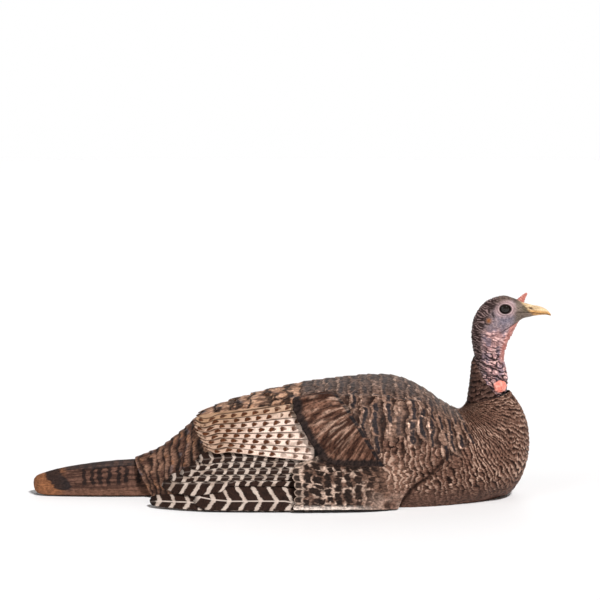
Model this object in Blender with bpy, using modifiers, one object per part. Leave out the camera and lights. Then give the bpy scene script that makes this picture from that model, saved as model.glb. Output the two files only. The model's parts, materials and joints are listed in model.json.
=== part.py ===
"""Laydown hen turkey decoy: hollow moulded body, drooped wings with separate flight feathers, plug-in
tail and a removable head that turns on its plug. Metres. +X forward (beak), +Y the bird's left, +Z up.
The origin is on the ground under the middle of the bounding box."""

import math

import bmesh
import bpy
from mathutils import Vector
from mathutils.bvhtree import BVHTree

MM = 0.001

# ---- driving dimensions, in millimetres --------------------------------------------------------
WALL = 3.0                # body moulding
TAIL_WALL = 2.4
GAP = 0.3                 # between pieces that touch
HEAD_WALL = 2.8
CAPE = 2.6                # feathered neck cape over the neck skin
X_SHIFT = 1.6             # brings the middle of the bounding box over the origin

# Body stations, tail root to neck seam: dorsal point x z, ventral point x z, half width, where the
# widest line lies (share of the way down), half width at the base.
BODY = [
    (-233, 54.5, -206, 1, 36, 0.60, 31),
    (-202, 65, -193, 0, 42, 0.62, 36),
    (-180, 80, -176, 0, 51, 0.62, 42),
    (-158, 98, -156, 0, 60, 0.62, 49),
    (-134, 119, -134, 0, 70, 0.62, 57),
    (-103, 134, -103, 0, 82, 0.62, 66),
    (-49, 150, -49, 0, 96, 0.62, 78),
    (16, 164, 16, 0, 106, 0.62, 89),
    (72, 171.5, 72, 0, 110, 0.62, 96),
    (117, 175, 117, 0, 112, 0.62, 101),
    (155, 172.5, 158, 0, 113, 0.61, 103),
    (190, 157, 203, 0, 110, 0.60, 95),
    (216, 139, 247, 0, 103, 0.58, 76),
    (235, 127.5, 288, 0, 93, 0.56, 46),
    (246, 125, 320, 3, 81, 0.54, 0),
    (252, 128, 342, 38, 68, 0.52, 0),
    (255.5, 131.5, 348.5, 80, 55, 0.50, 0),
    (257, 134, 341, 120, 42, 0.50, 0),
    (257.5, 135.5, 320, 153.8, 32.5, 0.50, 0),
]

# Neck and head stations, seam to beak tip: nape or crown point x z, throat or jaw point x z, half width.
HEAD = [
    (260.8, 137, 315.2, 153.2, 27.3),
    (262.5, 150, 316.5, 162, 26.2),
    (265, 167, 317.5, 171, 24.5),
    (266.8, 188, 314.5, 187, 22.0),
    (268, 206, 311, 204, 20.4),
    (264, 231, 318, 227, 19.8),
    (264.5, 251, 328, 247, 19.6),
    (269, 266, 333.5, 257, 19.2),
    (278, 280, 339, 260.8, 18.8),
    (292, 290, 343.5, 262.2, 18.2),
    (311, 294.5, 347.5, 263, 16.8),
    (327, 290, 351, 263.8, 13.2),
    (340, 284.5, 355.5, 264.8, 9.8),
    (352, 281, 361, 265.6, 7.6),
    (363, 279, 368, 266.2, 5.8),
    (373, 274.5, 375, 266, 4.0),
    (380.5, 266.6, 380.0, 264.6, 1.0),
]
SEAM_CENTRE = (288.0, 144.9)      # x z, on the swivel axis
SEAM_TILT = math.radians(16.5)    # the swivel axis leans back by this
SWIVEL_R = 27.3

# Wing stations along x: top edge half width and height, lower edge half width.
WING = [
    (-212, 46, 34, 100),
    (-183, 44, 44, 116),
    (-150, 42, 84, 127),
    (-119, 45, 112, 134),
    (-60, 50, 137, 136),
    (0, 54, 150, 136),
    (60, 58, 157, 133),
    (120, 62, 160, 127),
    (165, 66, 152, 116),
    (205, 68, 134, 104),
    (240, 70, 104, 84),
]
WING_BULGE = 0.70         # a lower figure makes the wing's outer face rounder
WING_FALL = 1.4           # slope of the reference surface above the wing's top edge
WING_CLEAR = 1.2          # wing reference surface over the body shell
PANEL = 2.4               # wing panel thickness

# Flight feathers. Each overlaps the one below it like a shingle, PITCH apart along the surface normal.
PITCH = 1.7
VANE = 0.6
PRIMARY_TIP_X = (-203, -140, -187, -177, -160, -146, -136)
PRIMARY_HALF = (13, 19, 17, 16, 16, 16, 16)
PRIMARY_ROOT_X = 30
PRIMARY_LINE = (6, 11, 7, 9)      # height at the root, its step; height at x -180, its step
PRIMARY_LIFT = 3.0
SECONDARY_TIP_X = (-122, -126, -130, -134, -137, -139, -141, -138)
SECONDARY_HALF = (12, 12, 12, 12, 12, 12, 11, 9)
SECONDARY_ROOT_X = (84, 77, 69, 61, 52, 44, 36, 28)
SECONDARY_LINE = (67, 10.6, 79.5, 4.7)  # height at x 50, its step; height at x -130, its step
SECONDARY_LIFT = 6.3
PANEL_LIFT = 9.3          # under the coverts, where the quills lie

# Tail stations: x, top height, underside height, half width of the top, half width at the lower edge.
TAIL = [
    (-383, 22, 12, 3, 6),
    (-379, 26.5, 6, 9, 14),
    (-368, 31, 3, 13, 21),
    (-336, 38.5, 2.6, 15, 26),
    (-285, 46, 2.6, 16, 29),
    (-240, 50, 2.6, 16, 29),
    (-196, 50, 2.6, 16, 27),
]

STAKE_X = 60.0
STAKE_BORE = 8.0
BUSH_R = 10.7             # bush outside, and the flange that carries it under the pan
BUSH_FLANGE_R = 20.0
BUSH_FLANGE_TOP = 3.1
TUBE_R = 13.5
TUBE_BORE = 11.0
TUBE_TOP = 150.0
SCREW_X = (-112, 45, 215)
SCREW_INSET = 15.0
SCREW_R = 1.7
SCREW_HEAD_R = 4.4
PILOT_R = 2.1             # drilled for a screw, and the clearance hole it passes through
CLEAR_R = 2.4
SINK_R = 5.0
SINK_TOP = 3.4
WING_SCREWS = ((178, 64), (150, 92))   # x z


# ---- scene and material helpers ----------------------------------------------------------------
for old in list(bpy.data.objects):
    bpy.data.objects.remove(old)

PARTS = bpy.data.collections.new("hen_decoy")
TOOLS = bpy.data.collections.new("cutters")
bpy.context.scene.collection.children.link(PARTS)
bpy.context.scene.collection.children.link(TOOLS)
TOOLS.hide_render = True


def material(name, colour, roughness, metallic=0.0):
    made = bpy.data.materials.new(name)
    made.use_nodes = True
    shader = made.node_tree.nodes["Principled BSDF"]
    shader.inputs["Base Color"].default_value = (*colour, 1)
    shader.inputs["Roughness"].default_value = roughness
    shader.inputs["Metallic"].default_value = metallic
    return made


BRONZE = material("bronze_plumage", (0.16, 0.10, 0.06), 0.55)
BARRED = material("barred_feather", (0.35, 0.30, 0.26), 0.6)
CREAM = material("cream_feather", (0.62, 0.48, 0.36), 0.6)
RUSSET = material("tail_plumage", (0.14, 0.08, 0.05), 0.6)
SKIN = material("head_skin", (0.42, 0.33, 0.36), 0.5)
EYE_GLASS = material("eye_glass", (0.01, 0.01, 0.01), 0.05)
BLACK = material("black_plastic", (0.03, 0.03, 0.03), 0.5)
STEEL = material("zinc_steel", (0.6, 0.6, 0.62), 0.3, 1.0)
RUBBER = material("friction_rubber", (0.05, 0.05, 0.05), 0.8)


def show(obj, mat=None, collection=PARTS):
    """Links an object and gives it its material."""
    collection.objects.link(obj)
    if mat:
        obj.data.materials.clear()
        obj.data.materials.append(mat)
    if collection is TOOLS:
        obj.hide_render = True
        obj.display_type = "WIRE"
    return obj


def grid(name, rows, mat, weld=False):
    """An open lofted surface through rows of points in millimetres, all rows of one length."""
    bm = bmesh.new()
    verts = [[bm.verts.new(Vector(p) * MM) for p in row] for row in rows]
    for low, high in zip(verts, verts[1:]):
        for a, b, c, d in zip(low, low[1:], high[1:], high):
            bm.faces.new((a, b, c, d))
    if weld:
        bmesh.ops.remove_doubles(bm, verts=bm.verts, dist=1e-5)
        bmesh.ops.dissolve_degenerate(bm, edges=bm.edges, dist=1e-6)
    mesh = bpy.data.meshes.new(name)
    bm.to_mesh(mesh)
    bm.free()
    mesh.shade_smooth()
    return show(bpy.data.objects.new(name, mesh), mat)


def thicken(obj, thickness, offset):
    """Solidify: offset 1 grows along the normal, -1 against it, 0 both ways."""
    shell = obj.modifiers.new("wall", "SOLIDIFY")
    shell.thickness = thickness * MM
    shell.offset = offset
    shell.use_rim = True
    return obj


def boolean(obj, other, operation="DIFFERENCE"):
    change = obj.modifiers.new(operation.lower(), "BOOLEAN")
    change.operation = operation
    change.object = other
    change.solver = "EXACT"
    return obj


def turned(name, profile, mat, steps=24, collection=PARTS):
    """A turned piece about its own Z: profile points r z in millimetres, down the outer side first."""
    mesh = bpy.data.meshes.new(name)
    points = [(r * MM, 0, z * MM) for r, z in profile]
    edges = [(i, i + 1) for i in range(len(points) - 1)]
    if profile[0][0] > 0:
        edges.append((len(points) - 1, 0))
    mesh.from_pydata(points, edges, [])
    obj = show(bpy.data.objects.new(name, mesh), mat, collection)
    spin = obj.modifiers.new("turn", "SCREW")
    spin.steps = spin.render_steps = steps
    spin.use_merge_vertices = True
    spin.merge_threshold = 1e-5
    spin.use_smooth_shade = True
    return obj


def cylinder(name, r, z0, z1, mat=None, sides=24, collection=TOOLS):
    """A plain round or, with few sides, polygonal bar along its own Z."""
    mesh = bpy.data.meshes.new(name)
    bm = bmesh.new()
    bmesh.ops.create_cone(bm, cap_ends=True, segments=sides, radius1=r * MM, radius2=r * MM,
                          depth=(z1 - z0) * MM)
    bmesh.ops.translate(bm, verts=bm.verts, vec=(0, 0, (z0 + z1) / 2 * MM))
    bm.to_mesh(mesh)
    bm.free()
    return show(bpy.data.objects.new(name, mesh), mat, collection)


def block(name, low, high, collection=TOOLS):
    """A box between two corners in millimetres."""
    mesh = bpy.data.meshes.new(name)
    bm = bmesh.new()
    bmesh.ops.create_cube(bm, size=1)
    size = Vector(high) - Vector(low)
    bmesh.ops.scale(bm, verts=bm.verts, vec=size * MM)
    bmesh.ops.translate(bm, verts=bm.verts, vec=(Vector(high) + Vector(low)) / 2 * MM)
    bm.to_mesh(mesh)
    bm.free()
    return show(bpy.data.objects.new(name, mesh), None, collection)


def place(obj, x, y, z, turn=None):
    obj.location = Vector((x, y, z)) * MM
    if turn:
        obj.rotation_euler = turn
    return obj


# ---- smooth interpolation ----------------------------------------------------------------------
def along(table, t):
    """Catmull-Rom through a table's rows at t, counted in rows."""
    i = min(int(t), len(table) - 2)
    f = t - i
    rows = [table[max(0, min(len(table) - 1, i + k))] for k in (-1, 0, 1, 2)]
    weights = (
        0.5 * (2 * f ** 2 - f - f ** 3),
        0.5 * (2 - 5 * f ** 2 + 3 * f ** 3),
        0.5 * (f + 4 * f ** 2 - 3 * f ** 3),
        0.5 * (f ** 3 - f ** 2),
    )
    return [sum(w * value for w, value in zip(weights, column)) for column in zip(*rows)]


def at_x(table, x):
    """The table's other columns at x, where its first column rises."""
    x = max(table[0][0], min(table[-1][0], x))
    i = max(k for k in range(len(table) - 1) if table[k][0] <= x)
    f = (x - table[i][0]) / (table[i + 1][0] - table[i][0])
    return along(table, i + f)[1:]


# ---- body --------------------------------------------------------------------------------------
UNDERCUT = math.radians(62)   # how far the lower curve turns before it meets the ground
RIM_OVERSHOOT = 0.05          # the rim runs below the ground and is trimmed flat


def body_point(t, v):
    """Outer body surface. t counts BODY stations; v runs -1 (right base edge) over the back to 1."""
    xt, zt, xb, zb, half, widest, base = along(BODY, t)
    base = max(base, 0.0)
    last = UNDERCUT + (math.pi / 2 - UNDERCUT) * max(0.0, 1 - base / 40)
    s = abs(v) * (1 + RIM_OVERSHOOT * min(1.0, base / 40))
    if s < 0.5:
        a = s * math.pi
        y, f = half * math.sin(a), widest * (1 - math.cos(a))
    else:
        b = (s - 0.5) * 2 * last
        y = base + (half - base) * (math.cos(b) - math.cos(last)) / (1 - math.cos(last))
        f = widest + (1 - widest) * math.sin(b) / math.sin(last)
    return (xt + (xb - xt) * f, math.copysign(y, v), zt + (zb - zt) * f)


def steps(count, low=0.0, high=1.0):
    return [low + (high - low) * i / count for i in range(count + 1)]


BODY_T = steps(16, 0, 10) + steps(14, 10, 18)[1:]
body_rows = [[body_point(t, v) for v in steps(20, -1, 1)] for t in BODY_T]
body_shell = thicken(grid("body_shell", body_rows, BRONZE, weld=True), WALL, 1)
boolean(body_shell, block("ground_trim", (-400, -200, -30), (400, 200, 0)))

fine_rows = [[body_point(t, v) for v in steps(96, -1, 1)] for t in steps(180, 0, 18)]
fine = bmesh.new()
fine_verts = [[fine.verts.new(p) for p in row] for row in fine_rows]
for low, high in zip(fine_verts, fine_verts[1:]):
    for a, b, c, d in zip(low, low[1:], high[1:], high):
        fine.faces.new((a, b, c, d))
BODY_TREE = BVHTree.FromBMesh(fine)
fine.free()


def base_half_width(x):
    """Half width of the base outline on the ground at x."""
    best = min(steps(360, 0, 14), key=lambda t: abs(body_point(t, 0.95)[0] - x))
    return body_point(best, 0.95)[1]


def body_side(x, z):
    """Half width of the body's outer surface at x z, or 0 where there is none."""
    hit = BODY_TREE.ray_cast(Vector((x, 400, z)), Vector((0, -1, 0)))[0]
    return hit.y if hit is not None else 0.0


# ---- wing reference surface --------------------------------------------------------------------
def wing_reference(x, z):
    """A point on the left wing's reference surface at x and height z."""
    y_top, z_top, y_low = at_x(WING, x)
    s = max(0.0, 1 - z / z_top)
    tent = y_top + (y_low - y_top) * s ** WING_BULGE - WING_FALL * max(0.0, z - z_top)
    over = body_side(x, z) + WING_CLEAR
    soft = 5.0
    return Vector((x, 0.5 * (tent + over + math.sqrt((tent - over) ** 2 + soft * soft)), z))


def wing_point(x, z, lift, side):
    """The reference surface raised by lift along its outward normal, on side 1 (left) or -1 (right)."""
    d = 3.0
    here = wing_reference(x, z)
    ahead = wing_reference(x + d, z) - wing_reference(x - d, z)
    up = wing_reference(x, z + d) - wing_reference(x, max(z - d, 0.2))
    normal = up.cross(ahead).normalized()
    if normal.y < 0:
        normal.negate()
    p = here + normal * lift
    return (p.x, p.y * side, max(p.z, 0.8))


FEATHER_ROWS = (80, 50, 20, -12, -44, -72, -94, -108, -120, -132, -145, -160, -176, -190)


def line_at(line, x, x_root, x_tip):
    """A feather group's first centreline height and step at x."""
    f = (x_root - x) / (x_root - x_tip)
    root, root_step, tip, tip_step = line
    return root + (tip - root) * f, root_step + (tip_step - root_step) * f


def vane_half(share, half):
    """Half width of a vane, share 0 at the root to 1 at the rounded tip."""
    root = 0.62 + 0.38 * min(1.0, share * 2.5)
    return half * root * math.sqrt(max(0.0, 1 - share ** 7)) + 0.9


def feather(name, mat, order, line, x_span, root_x, tip_x, half, lift, side):
    """One flight feather: a thin vane that follows the wing surface, shingled by its order."""
    rows = []
    shared = [x for x in FEATHER_ROWS if tip_x + 12 < x < root_x - 6]
    for x in [root_x] + shared + [tip_x + 8, tip_x + 2.5, tip_x + 0.5]:
        share = (root_x - x) / (root_x - tip_x)
        first, step = line_at(line, x, *x_span)
        centre = first + order * step
        w = vane_half(share, half)
        row = []
        for across in steps(3, -1, 1):
            z = max(centre + across * w, 1.6)
            raised = lift + PITCH * (order - (z - first) / step)
            row.append(wing_point(x, z, raised, side))
        rows.append(row)
    if side > 0:
        rows.reverse()
    return thicken(grid(name, rows, mat), VANE, 0)


SIDES = {"left": 1, "right": -1}
for word, side in SIDES.items():
    for i, (tip_x, half) in enumerate(zip(PRIMARY_TIP_X, PRIMARY_HALF)):
        feather(f"primary_{i + 1}_{word}", BARRED, i, PRIMARY_LINE, (PRIMARY_ROOT_X, -180),
                PRIMARY_ROOT_X, tip_x, half, PRIMARY_LIFT, side)
    for i, (tip_x, half, root_x) in enumerate(zip(SECONDARY_TIP_X, SECONDARY_HALF, SECONDARY_ROOT_X)):
        feather(f"secondary_{i + 1}_{word}", CREAM, i, SECONDARY_LINE, (50, -130),
                root_x, tip_x, half, SECONDARY_LIFT, side)


# ---- wing panels -------------------------------------------------------------------------------
# Rear and front edge of the panel by height: z, rear x, front x.
PANEL_EDGE = [
    (1.2, 4, 150),
    (18, 6, 158),
    (34, 9, 172),
    (42, 12, 186),
    (50, 46, 200),
    (58, 66, 212),
    (78, 54, 224),
    (102, 36, 218),
    (126, 17, 202),
    (142, 8, 184),
]


def pan_screw(name, top):
    """A flat-headed screw that stands in the pan's sunk hole."""
    return turned(name, [(0, top), (SCREW_R, top - 1), (SCREW_R, 3.0), (SCREW_HEAD_R, 3.0),
                         (SCREW_HEAD_R, 1.9), (0, 1.7)], STEEL, 12)


def ease(value):
    value = max(0.0, min(1.0, value))
    return value * value * (3 - 2 * value)


def panel_lift(x, z):
    """The panel clears the quills at the rear and comes down on the shell at the shoulder and back."""
    down = max(ease((x - 92) / 60), 0.75 * ease((x - 50) / 20) * ease((z - 128) / 16))
    return PANEL_LIFT + (0.4 - PANEL_LIFT) * down


def panel_rise(x, height):
    """How far the panel's upper rows arch over the shoulder blade."""
    return 14 * max(0.0, 1 - ((x - 124) / 90) ** 2) * (height / PANEL_EDGE[-1][0]) ** 3


def wing_panel(name, side):
    rows = []
    for z in steps(14, 0, 9):
        height, rear, front = along(PANEL_EDGE, z)
        row = [(x, height + panel_rise(x, height)) for x in steps(13, rear, front)]
        rows.append([wing_point(x, z, panel_lift(x, z), side) for x, z in row])
    if side < 0:
        rows.reverse()
    return thicken(grid(name, rows, BRONZE), PANEL, -1)


for word, side in SIDES.items():
    panel = wing_panel(f"wing_panel_{word}", side)
    for i, (x, z) in enumerate(WING_SCREWS):
        skin = wing_point(x, z, panel_lift(x, z), 1)[1]
        seat = body_side(x, z)
        hole = place(cylinder(f"wing_hole_{i}_{word}", CLEAR_R, -30, 30), x, side * seat, z,
                     (math.radians(-90 * side), 0, 0))
        boolean(body_shell, hole)
        pilot = place(cylinder(f"wing_pilot_{i}_{word}", PILOT_R, -12, PANEL * 0.35), x, side * skin, z,
                      (math.radians(-90 * side), 0, 0))
        boolean(panel, pilot)
        grip = seat - skin - WALL * 1.7 - GAP
        screw = turned(f"wing_screw_{i + 1}_{word}",
                       [(0, 0.6), (SCREW_R, 0.2), (SCREW_R, grip), (4.2, grip), (4.2, grip - 1.5),
                        (3, grip - 2.5), (0, grip - 2.5)], STEEL, 12)
        place(screw, x, side * skin, z, (math.radians(-90 * side), 0, 0))


# ---- base pan, bosses and screws ---------------------------------------------------------------
PAN_LOW, PAN_TOP = 1.6, 5.2
PAN_EDGE = 7.5
PAN_X = (-192, 285)
pan_outline = [(x, min(body_side(x, 0.5), body_side(x, PAN_TOP)) - PAN_EDGE) for x in steps(17, *PAN_X)]


def plate(name, outline, low, high, mat):
    """A flat plate from a closed outline, made as a filled 2D curve and turned into a mesh."""
    curve = bpy.data.curves.new(name, "CURVE")
    curve.dimensions = "2D"
    curve.fill_mode = "BOTH"
    curve.extrude = (high - low) / 2 * MM
    spline = curve.splines.new("POLY")
    spline.points.add(len(outline) - 1)
    for point, (x, y) in zip(spline.points, outline):
        point.co = (x * MM, y * MM, 0, 1)
    spline.use_cyclic_u = True
    drawn = bpy.data.objects.new(name + "_curve", curve)
    PARTS.objects.link(drawn)
    graph = bpy.context.evaluated_depsgraph_get()
    mesh = bpy.data.meshes.new_from_object(drawn.evaluated_get(graph))
    bm = bmesh.new()
    bm.from_mesh(mesh)
    bmesh.ops.remove_doubles(bm, verts=bm.verts, dist=1e-5)
    bmesh.ops.recalc_face_normals(bm, faces=bm.faces)
    bm.to_mesh(mesh)
    bm.free()
    bpy.data.objects.remove(drawn)
    obj = show(bpy.data.objects.new(name, mesh), mat)
    obj.location.z = (low + high) / 2 * MM
    return obj


pan_right = [(x, -y) for x, y in reversed(pan_outline)]
base_pan = plate("base_pan", pan_outline + pan_right, PAN_LOW, PAN_TOP, BLACK)
boolean(base_pan, place(cylinder("stake_hole", BUSH_R + GAP, -10, 20), STAKE_X, 0, 0))
bush_recess = cylinder("bush_recess", BUSH_FLANGE_R + 0.4, 0, BUSH_FLANGE_TOP + GAP)
boolean(base_pan, place(bush_recess, STAKE_X, 0, 0))

BOSS_R, BOSS_TOP = 5.5, 24
RIB, RIB_TOP = 3.2, 14
for i, x in enumerate(SCREW_X):
    reach = base_half_width(x)
    for word, side in SIDES.items():
        tag = f"{i + 1}_{word}"
        y = side * (reach - SCREW_INSET)
        boss = place(cylinder("boss_" + tag, BOSS_R, PAN_TOP + GAP, BOSS_TOP, sides=12), x, y, 0)
        boolean(body_shell, boss, "UNION")
        ends = sorted((y, side * (body_side(x, PAN_TOP) - WALL / 3)))
        rib = block("rib_" + tag, (x - RIB / 2, ends[0], PAN_TOP + GAP), (x + RIB / 2, ends[1], RIB_TOP))
        boolean(body_shell, rib, "UNION")
        boolean(body_shell, place(cylinder("boss_pilot_" + tag, PILOT_R, 0, 19, sides=12), x, y, 0))
        boolean(base_pan, place(cylinder("pan_hole_" + tag, CLEAR_R, -5, 15, sides=12), x, y, 0))
        boolean(base_pan, place(cylinder("pan_sink_" + tag, SINK_R, 0, SINK_TOP, sides=12), x, y, 0))
        place(pan_screw("base_screw_" + tag, 16), x, y, 0)


# ---- stake socket ------------------------------------------------------------------------------
BUSH_TOP = 40
BUSH_LOW = 1.7
stake_bush = turned("stake_bush", [(BUSH_R, BUSH_TOP), (BUSH_R, BUSH_FLANGE_TOP),
                                   (BUSH_FLANGE_R, BUSH_FLANGE_TOP), (BUSH_FLANGE_R, BUSH_LOW),
                                   (STAKE_BORE, BUSH_LOW), (STAKE_BORE, BUSH_TOP)], BLACK, 24)
stake_tube = turned("stake_tube", [(TUBE_R, TUBE_TOP), (TUBE_R, PAN_TOP + GAP),
                                   (TUBE_BORE, PAN_TOP + GAP), (TUBE_BORE, TUBE_TOP)], BLACK, 24)
CAP_SPIGOT_R = TUBE_BORE - GAP
CAP_R = 17
stake_cap = turned("stake_cap", [(0, 163.6), (9, 162.8), (CAP_R, 159), (CAP_R, TUBE_TOP + GAP),
                                 (CAP_SPIGOT_R, TUBE_TOP + GAP), (CAP_SPIGOT_R, TUBE_TOP - 10),
                                 (0, TUBE_TOP - 10)], RUBBER, 24)
for piece in (stake_bush, stake_tube, stake_cap):
    piece.location.x = STAKE_X * MM


# ---- tail --------------------------------------------------------------------------------------
def tail_point(t, v):
    """Tail surface, an inverted trough; v runs -1 (right lower edge) to 1."""
    x, top, low, deck, foot = along(TAIL, t)
    s = abs(v)
    if s < 0.45:
        f = s / 0.45
        y, z = deck * f, top - 0.16 * (top - low) * f ** 2.2
    else:
        f = (s - 0.45) / 0.55
        y = deck + (foot - deck) * f ** 0.8
        z = top - (top - low) * (0.16 + 0.84 * f)
    return (x, math.copysign(y, v), z)


tail_rows = [[tail_point(t, v) for v in steps(14, -1, 1)] for t in [0, 0.5, 1, 1.5, 2, 2.5, 3, 4, 5, 6]]
nose = [(TAIL[0][0] - 1.2, p[1] * 0.2, 17 + (p[2] - 17) * 0.2) for p in tail_rows[0]]
tail = thicken(grid("tail", [nose] + tail_rows, RUSSET), TAIL_WALL, 1)
TONGUE_X = (-214, -186)
tongue = block("tail_tongue_block", (TONGUE_X[0], -13, PAN_TOP + GAP), (TONGUE_X[1], 13, 13))
floor_rib = block("tail_floor_block", (-212, -26.5, PAN_TOP + GAP), (-199, 26.5, 9.5))
boolean(boolean(tail, tongue, "UNION"), floor_rib, "UNION")
TAIL_SCREW_X = TONGUE_X[1] - 4
boolean(tail, place(cylinder("tail_pilot", PILOT_R, 0, 12, sides=12), TAIL_SCREW_X, 0, 0))
boolean(base_pan, place(cylinder("tail_hole", CLEAR_R, -5, 15, sides=12), TAIL_SCREW_X, 0, 0))
boolean(base_pan, place(cylinder("tail_sink", SINK_R, 0, SINK_TOP, sides=12), TAIL_SCREW_X, 0, 0))
place(pan_screw("tail_screw", 11), TAIL_SCREW_X, 0, 0)


# ---- neck swivel: socket in the body, hexagonal plug, bulkhead in the neck ---------------------
def on_axis(obj):
    """Stands a piece on the tilted swivel axis, its own z 0 on the seam plane."""
    return place(obj, SEAM_CENTRE[0], 0, SEAM_CENTRE[1], (0, -SEAM_TILT, 0))


PLUG_HEX = 16.5           # corner radius of the six-sided plug
SOCKET_R, SOCKET_FLANGE_R = 21.5, 26.6
COLLAR_R, SPIGOT_R = 21.4, 9.4
BOLT_R, BOLT_HEAD_R, BOLT_HOLE_R = 3.0, 6.4, 3.4
neck_socket = on_axis(turned("neck_socket", [(0, -0.5), (SOCKET_FLANGE_R, -0.5), (SOCKET_FLANGE_R, -6),
                                             (SOCKET_R, -6), (SOCKET_R, -46), (0, -46)], BLACK, 32))
boolean(neck_socket, on_axis(cylinder("socket_hex", PLUG_HEX + 0.45, -43, 5, sides=6)))
neck_plug = on_axis(turned("neck_plug", [(0, 10), (SPIGOT_R, 10), (SPIGOT_R, 3.2), (COLLAR_R, 3.2),
                                         (COLLAR_R, 0.4), (0, 0.4)], BLACK, 31))
boolean(neck_plug, on_axis(cylinder("plug_hex", PLUG_HEX, -41, 2, sides=6)), "UNION")
boolean(neck_plug, on_axis(cylinder("plug_hollow", 11, -50, -6)))
boolean(neck_plug, on_axis(cylinder("plug_bolt_hole", BOLT_HOLE_R, -20, 20)))
on_axis(turned("friction_washer", [(20.6, 4.9), (20.6, 3.6), (11, 3.6), (11, 4.9)], RUBBER, 32))
on_axis(turned("neck_bulkhead", [(20.8, 9.6), (20.8, 5.3), (9.9, 5.3), (9.9, 9.6)], BLACK, 32))
on_axis(turned("spring_washer", [(8, 12.6), (15, 10.9), (15, 10.4), (8, 10.4), (3.6, 11.6), (3.6, 12.6)],
               STEEL, 24))
swivel_nut = on_axis(cylinder("swivel_nut", 6.6, 13, 18.4, STEEL, sides=6, collection=PARTS))
boolean(swivel_nut, on_axis(cylinder("nut_hole", BOLT_HOLE_R, 0, 30)))
on_axis(turned("swivel_bolt", [(0, 20.5), (BOLT_R, 20), (BOLT_R, -6.4), (BOLT_HEAD_R, -6.4),
                               (BOLT_HEAD_R, -10.4), (0, -10.4)], STEEL, 24))


# ---- head and neck -----------------------------------------------------------------------------
def head_point(t, v, grow=0.0):
    """Neck and head surface: t counts HEAD stations, v runs -1 to 1 from the throat over the nape."""
    xt, zt, xb, zb, half = along(HEAD, t)
    a = v * math.pi
    reach = math.hypot(xb - xt, zb - zt)
    f = 0.5 - (0.5 + grow / reach) * math.cos(a)
    return (xt + (xb - xt) * f, (half + grow) * math.sin(a), zt + (zb - zt) * f)


HEAD_T = steps(5, 0, 4) + steps(18, 4, 16)[1:]
head_rows = [[head_point(t, v) for v in steps(20, -1, 1)] for t in HEAD_T]


def capped_loft(name, rows, mat, collection=PARTS):
    """A closed solid through closed rings, with flat caps."""
    bm = bmesh.new()
    rings = [[bm.verts.new(Vector(p) * MM) for p in row[:-1]] for row in rows]
    for low, high in zip(rings, rings[1:]):
        for k in range(len(low)):
            n = (k + 1) % len(low)
            bm.faces.new((low[k], low[n], high[n], high[k]))
    bm.faces.new(list(reversed(rings[0])))
    bm.faces.new(rings[-1])
    bmesh.ops.recalc_face_normals(bm, faces=bm.faces)
    mesh = bpy.data.meshes.new(name)
    bm.to_mesh(mesh)
    bm.free()
    mesh.shade_smooth()
    return show(bpy.data.objects.new(name, mesh), mat, collection)


def ellipsoid(name, radii, x, y, z, mat=None, collection=TOOLS):
    """A closed egg shape with three radii in millimetres."""
    mesh = bpy.data.meshes.new(name)
    bm = bmesh.new()
    bmesh.ops.create_uvsphere(bm, u_segments=16, v_segments=10, radius=MM)
    bmesh.ops.scale(bm, verts=bm.verts, vec=radii)
    bm.to_mesh(mesh)
    bm.free()
    mesh.shade_smooth()
    return place(show(bpy.data.objects.new(name, mesh), mat, collection), x, y, z)


head_shell = capped_loft("head_shell", head_rows, SKIN)
CARUNCLE = (304, 13, 163)
CARUNCLE_RADII = (10, 9, 9)
for word, side in SIDES.items():
    x, y, z = CARUNCLE
    boolean(head_shell, ellipsoid("caruncle_form_" + word, CARUNCLE_RADII, x, side * y, z), "UNION")
core_rows = [[head_point(t, v, -HEAD_WALL) for v in steps(16, -1, 1)] for t in steps(8, 0, 9)]
start = Vector((math.sin(SEAM_TILT), 0, -math.cos(SEAM_TILT))) * 3
core_rows.insert(0, [Vector(p) + start for p in core_rows[0]])
boolean(head_shell, capped_loft("neck_core", core_rows, None, TOOLS))
trim = on_axis(cylinder("seam_trim", 45, -25, 0.7))
boolean(head_shell, trim)

snood = capped_loft("snood_form", [
    [(x + r * math.cos(a) * 1.25, r * math.sin(a) * 0.8, z + r * math.cos(a) * 0.25)
     for a in steps(12, 0, 2 * math.pi)]
    for x, z, r in ((334, 281, 5.4), (336.5, 288, 4.6), (340, 293.5, 3.0), (344.2, 298.6, 1.2))
], None, TOOLS)
boolean(head_shell, snood, "UNION")

EYE = (311, 13.8, 276)
EYE_RADII = (8, 5.6, 7)
for word, side in SIDES.items():
    x, y, z = EYE
    ellipsoid("eye_" + word, EYE_RADII, x, side * y, z, EYE_GLASS, PARTS)
    room = [r + GAP + 0.1 for r in EYE_RADII]
    boolean(head_shell, ellipsoid("eye_socket_" + word, room, x, side * y, z))

CAPE_OPEN = 0.64        # half of the ring that the cape covers at the seam, as a share
CAPE_TOP = 4.05         # station that its nape edge reaches


def cape_point(f, v):
    """Feathered cape on the neck: v -1 to 1 round the nape, f 0 at the seam, 1 at its slanting edge."""
    spread = CAPE_OPEN * v
    top = 0.12 + (CAPE_TOP - 0.12) * (1 - abs(v) ** 1.5)
    xt, zt, xb, zb, half = along(HEAD, top * f)
    a = spread * math.pi
    reach = math.hypot(xb - xt, zb - zt)
    share = 0.5 - (0.5 + GAP * 1.6 / reach) * math.cos(a)
    return (xt + (xb - xt) * share, (half + GAP * 1.6) * math.sin(a), zt + (zb - zt) * share)


cape_rows = [[cape_point(f, v) for v in steps(16, -1, 1)] for f in steps(6)]
neck_cape = thicken(grid("neck_cape", cape_rows, BRONZE), CAPE, -1)
boolean(neck_cape, trim)


# ---- whole object over the origin, moving pieces on their axes ---------------------------------
for obj in list(PARTS.objects) + list(TOOLS.objects):
    obj.location.x += X_SHIFT * MM

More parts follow.
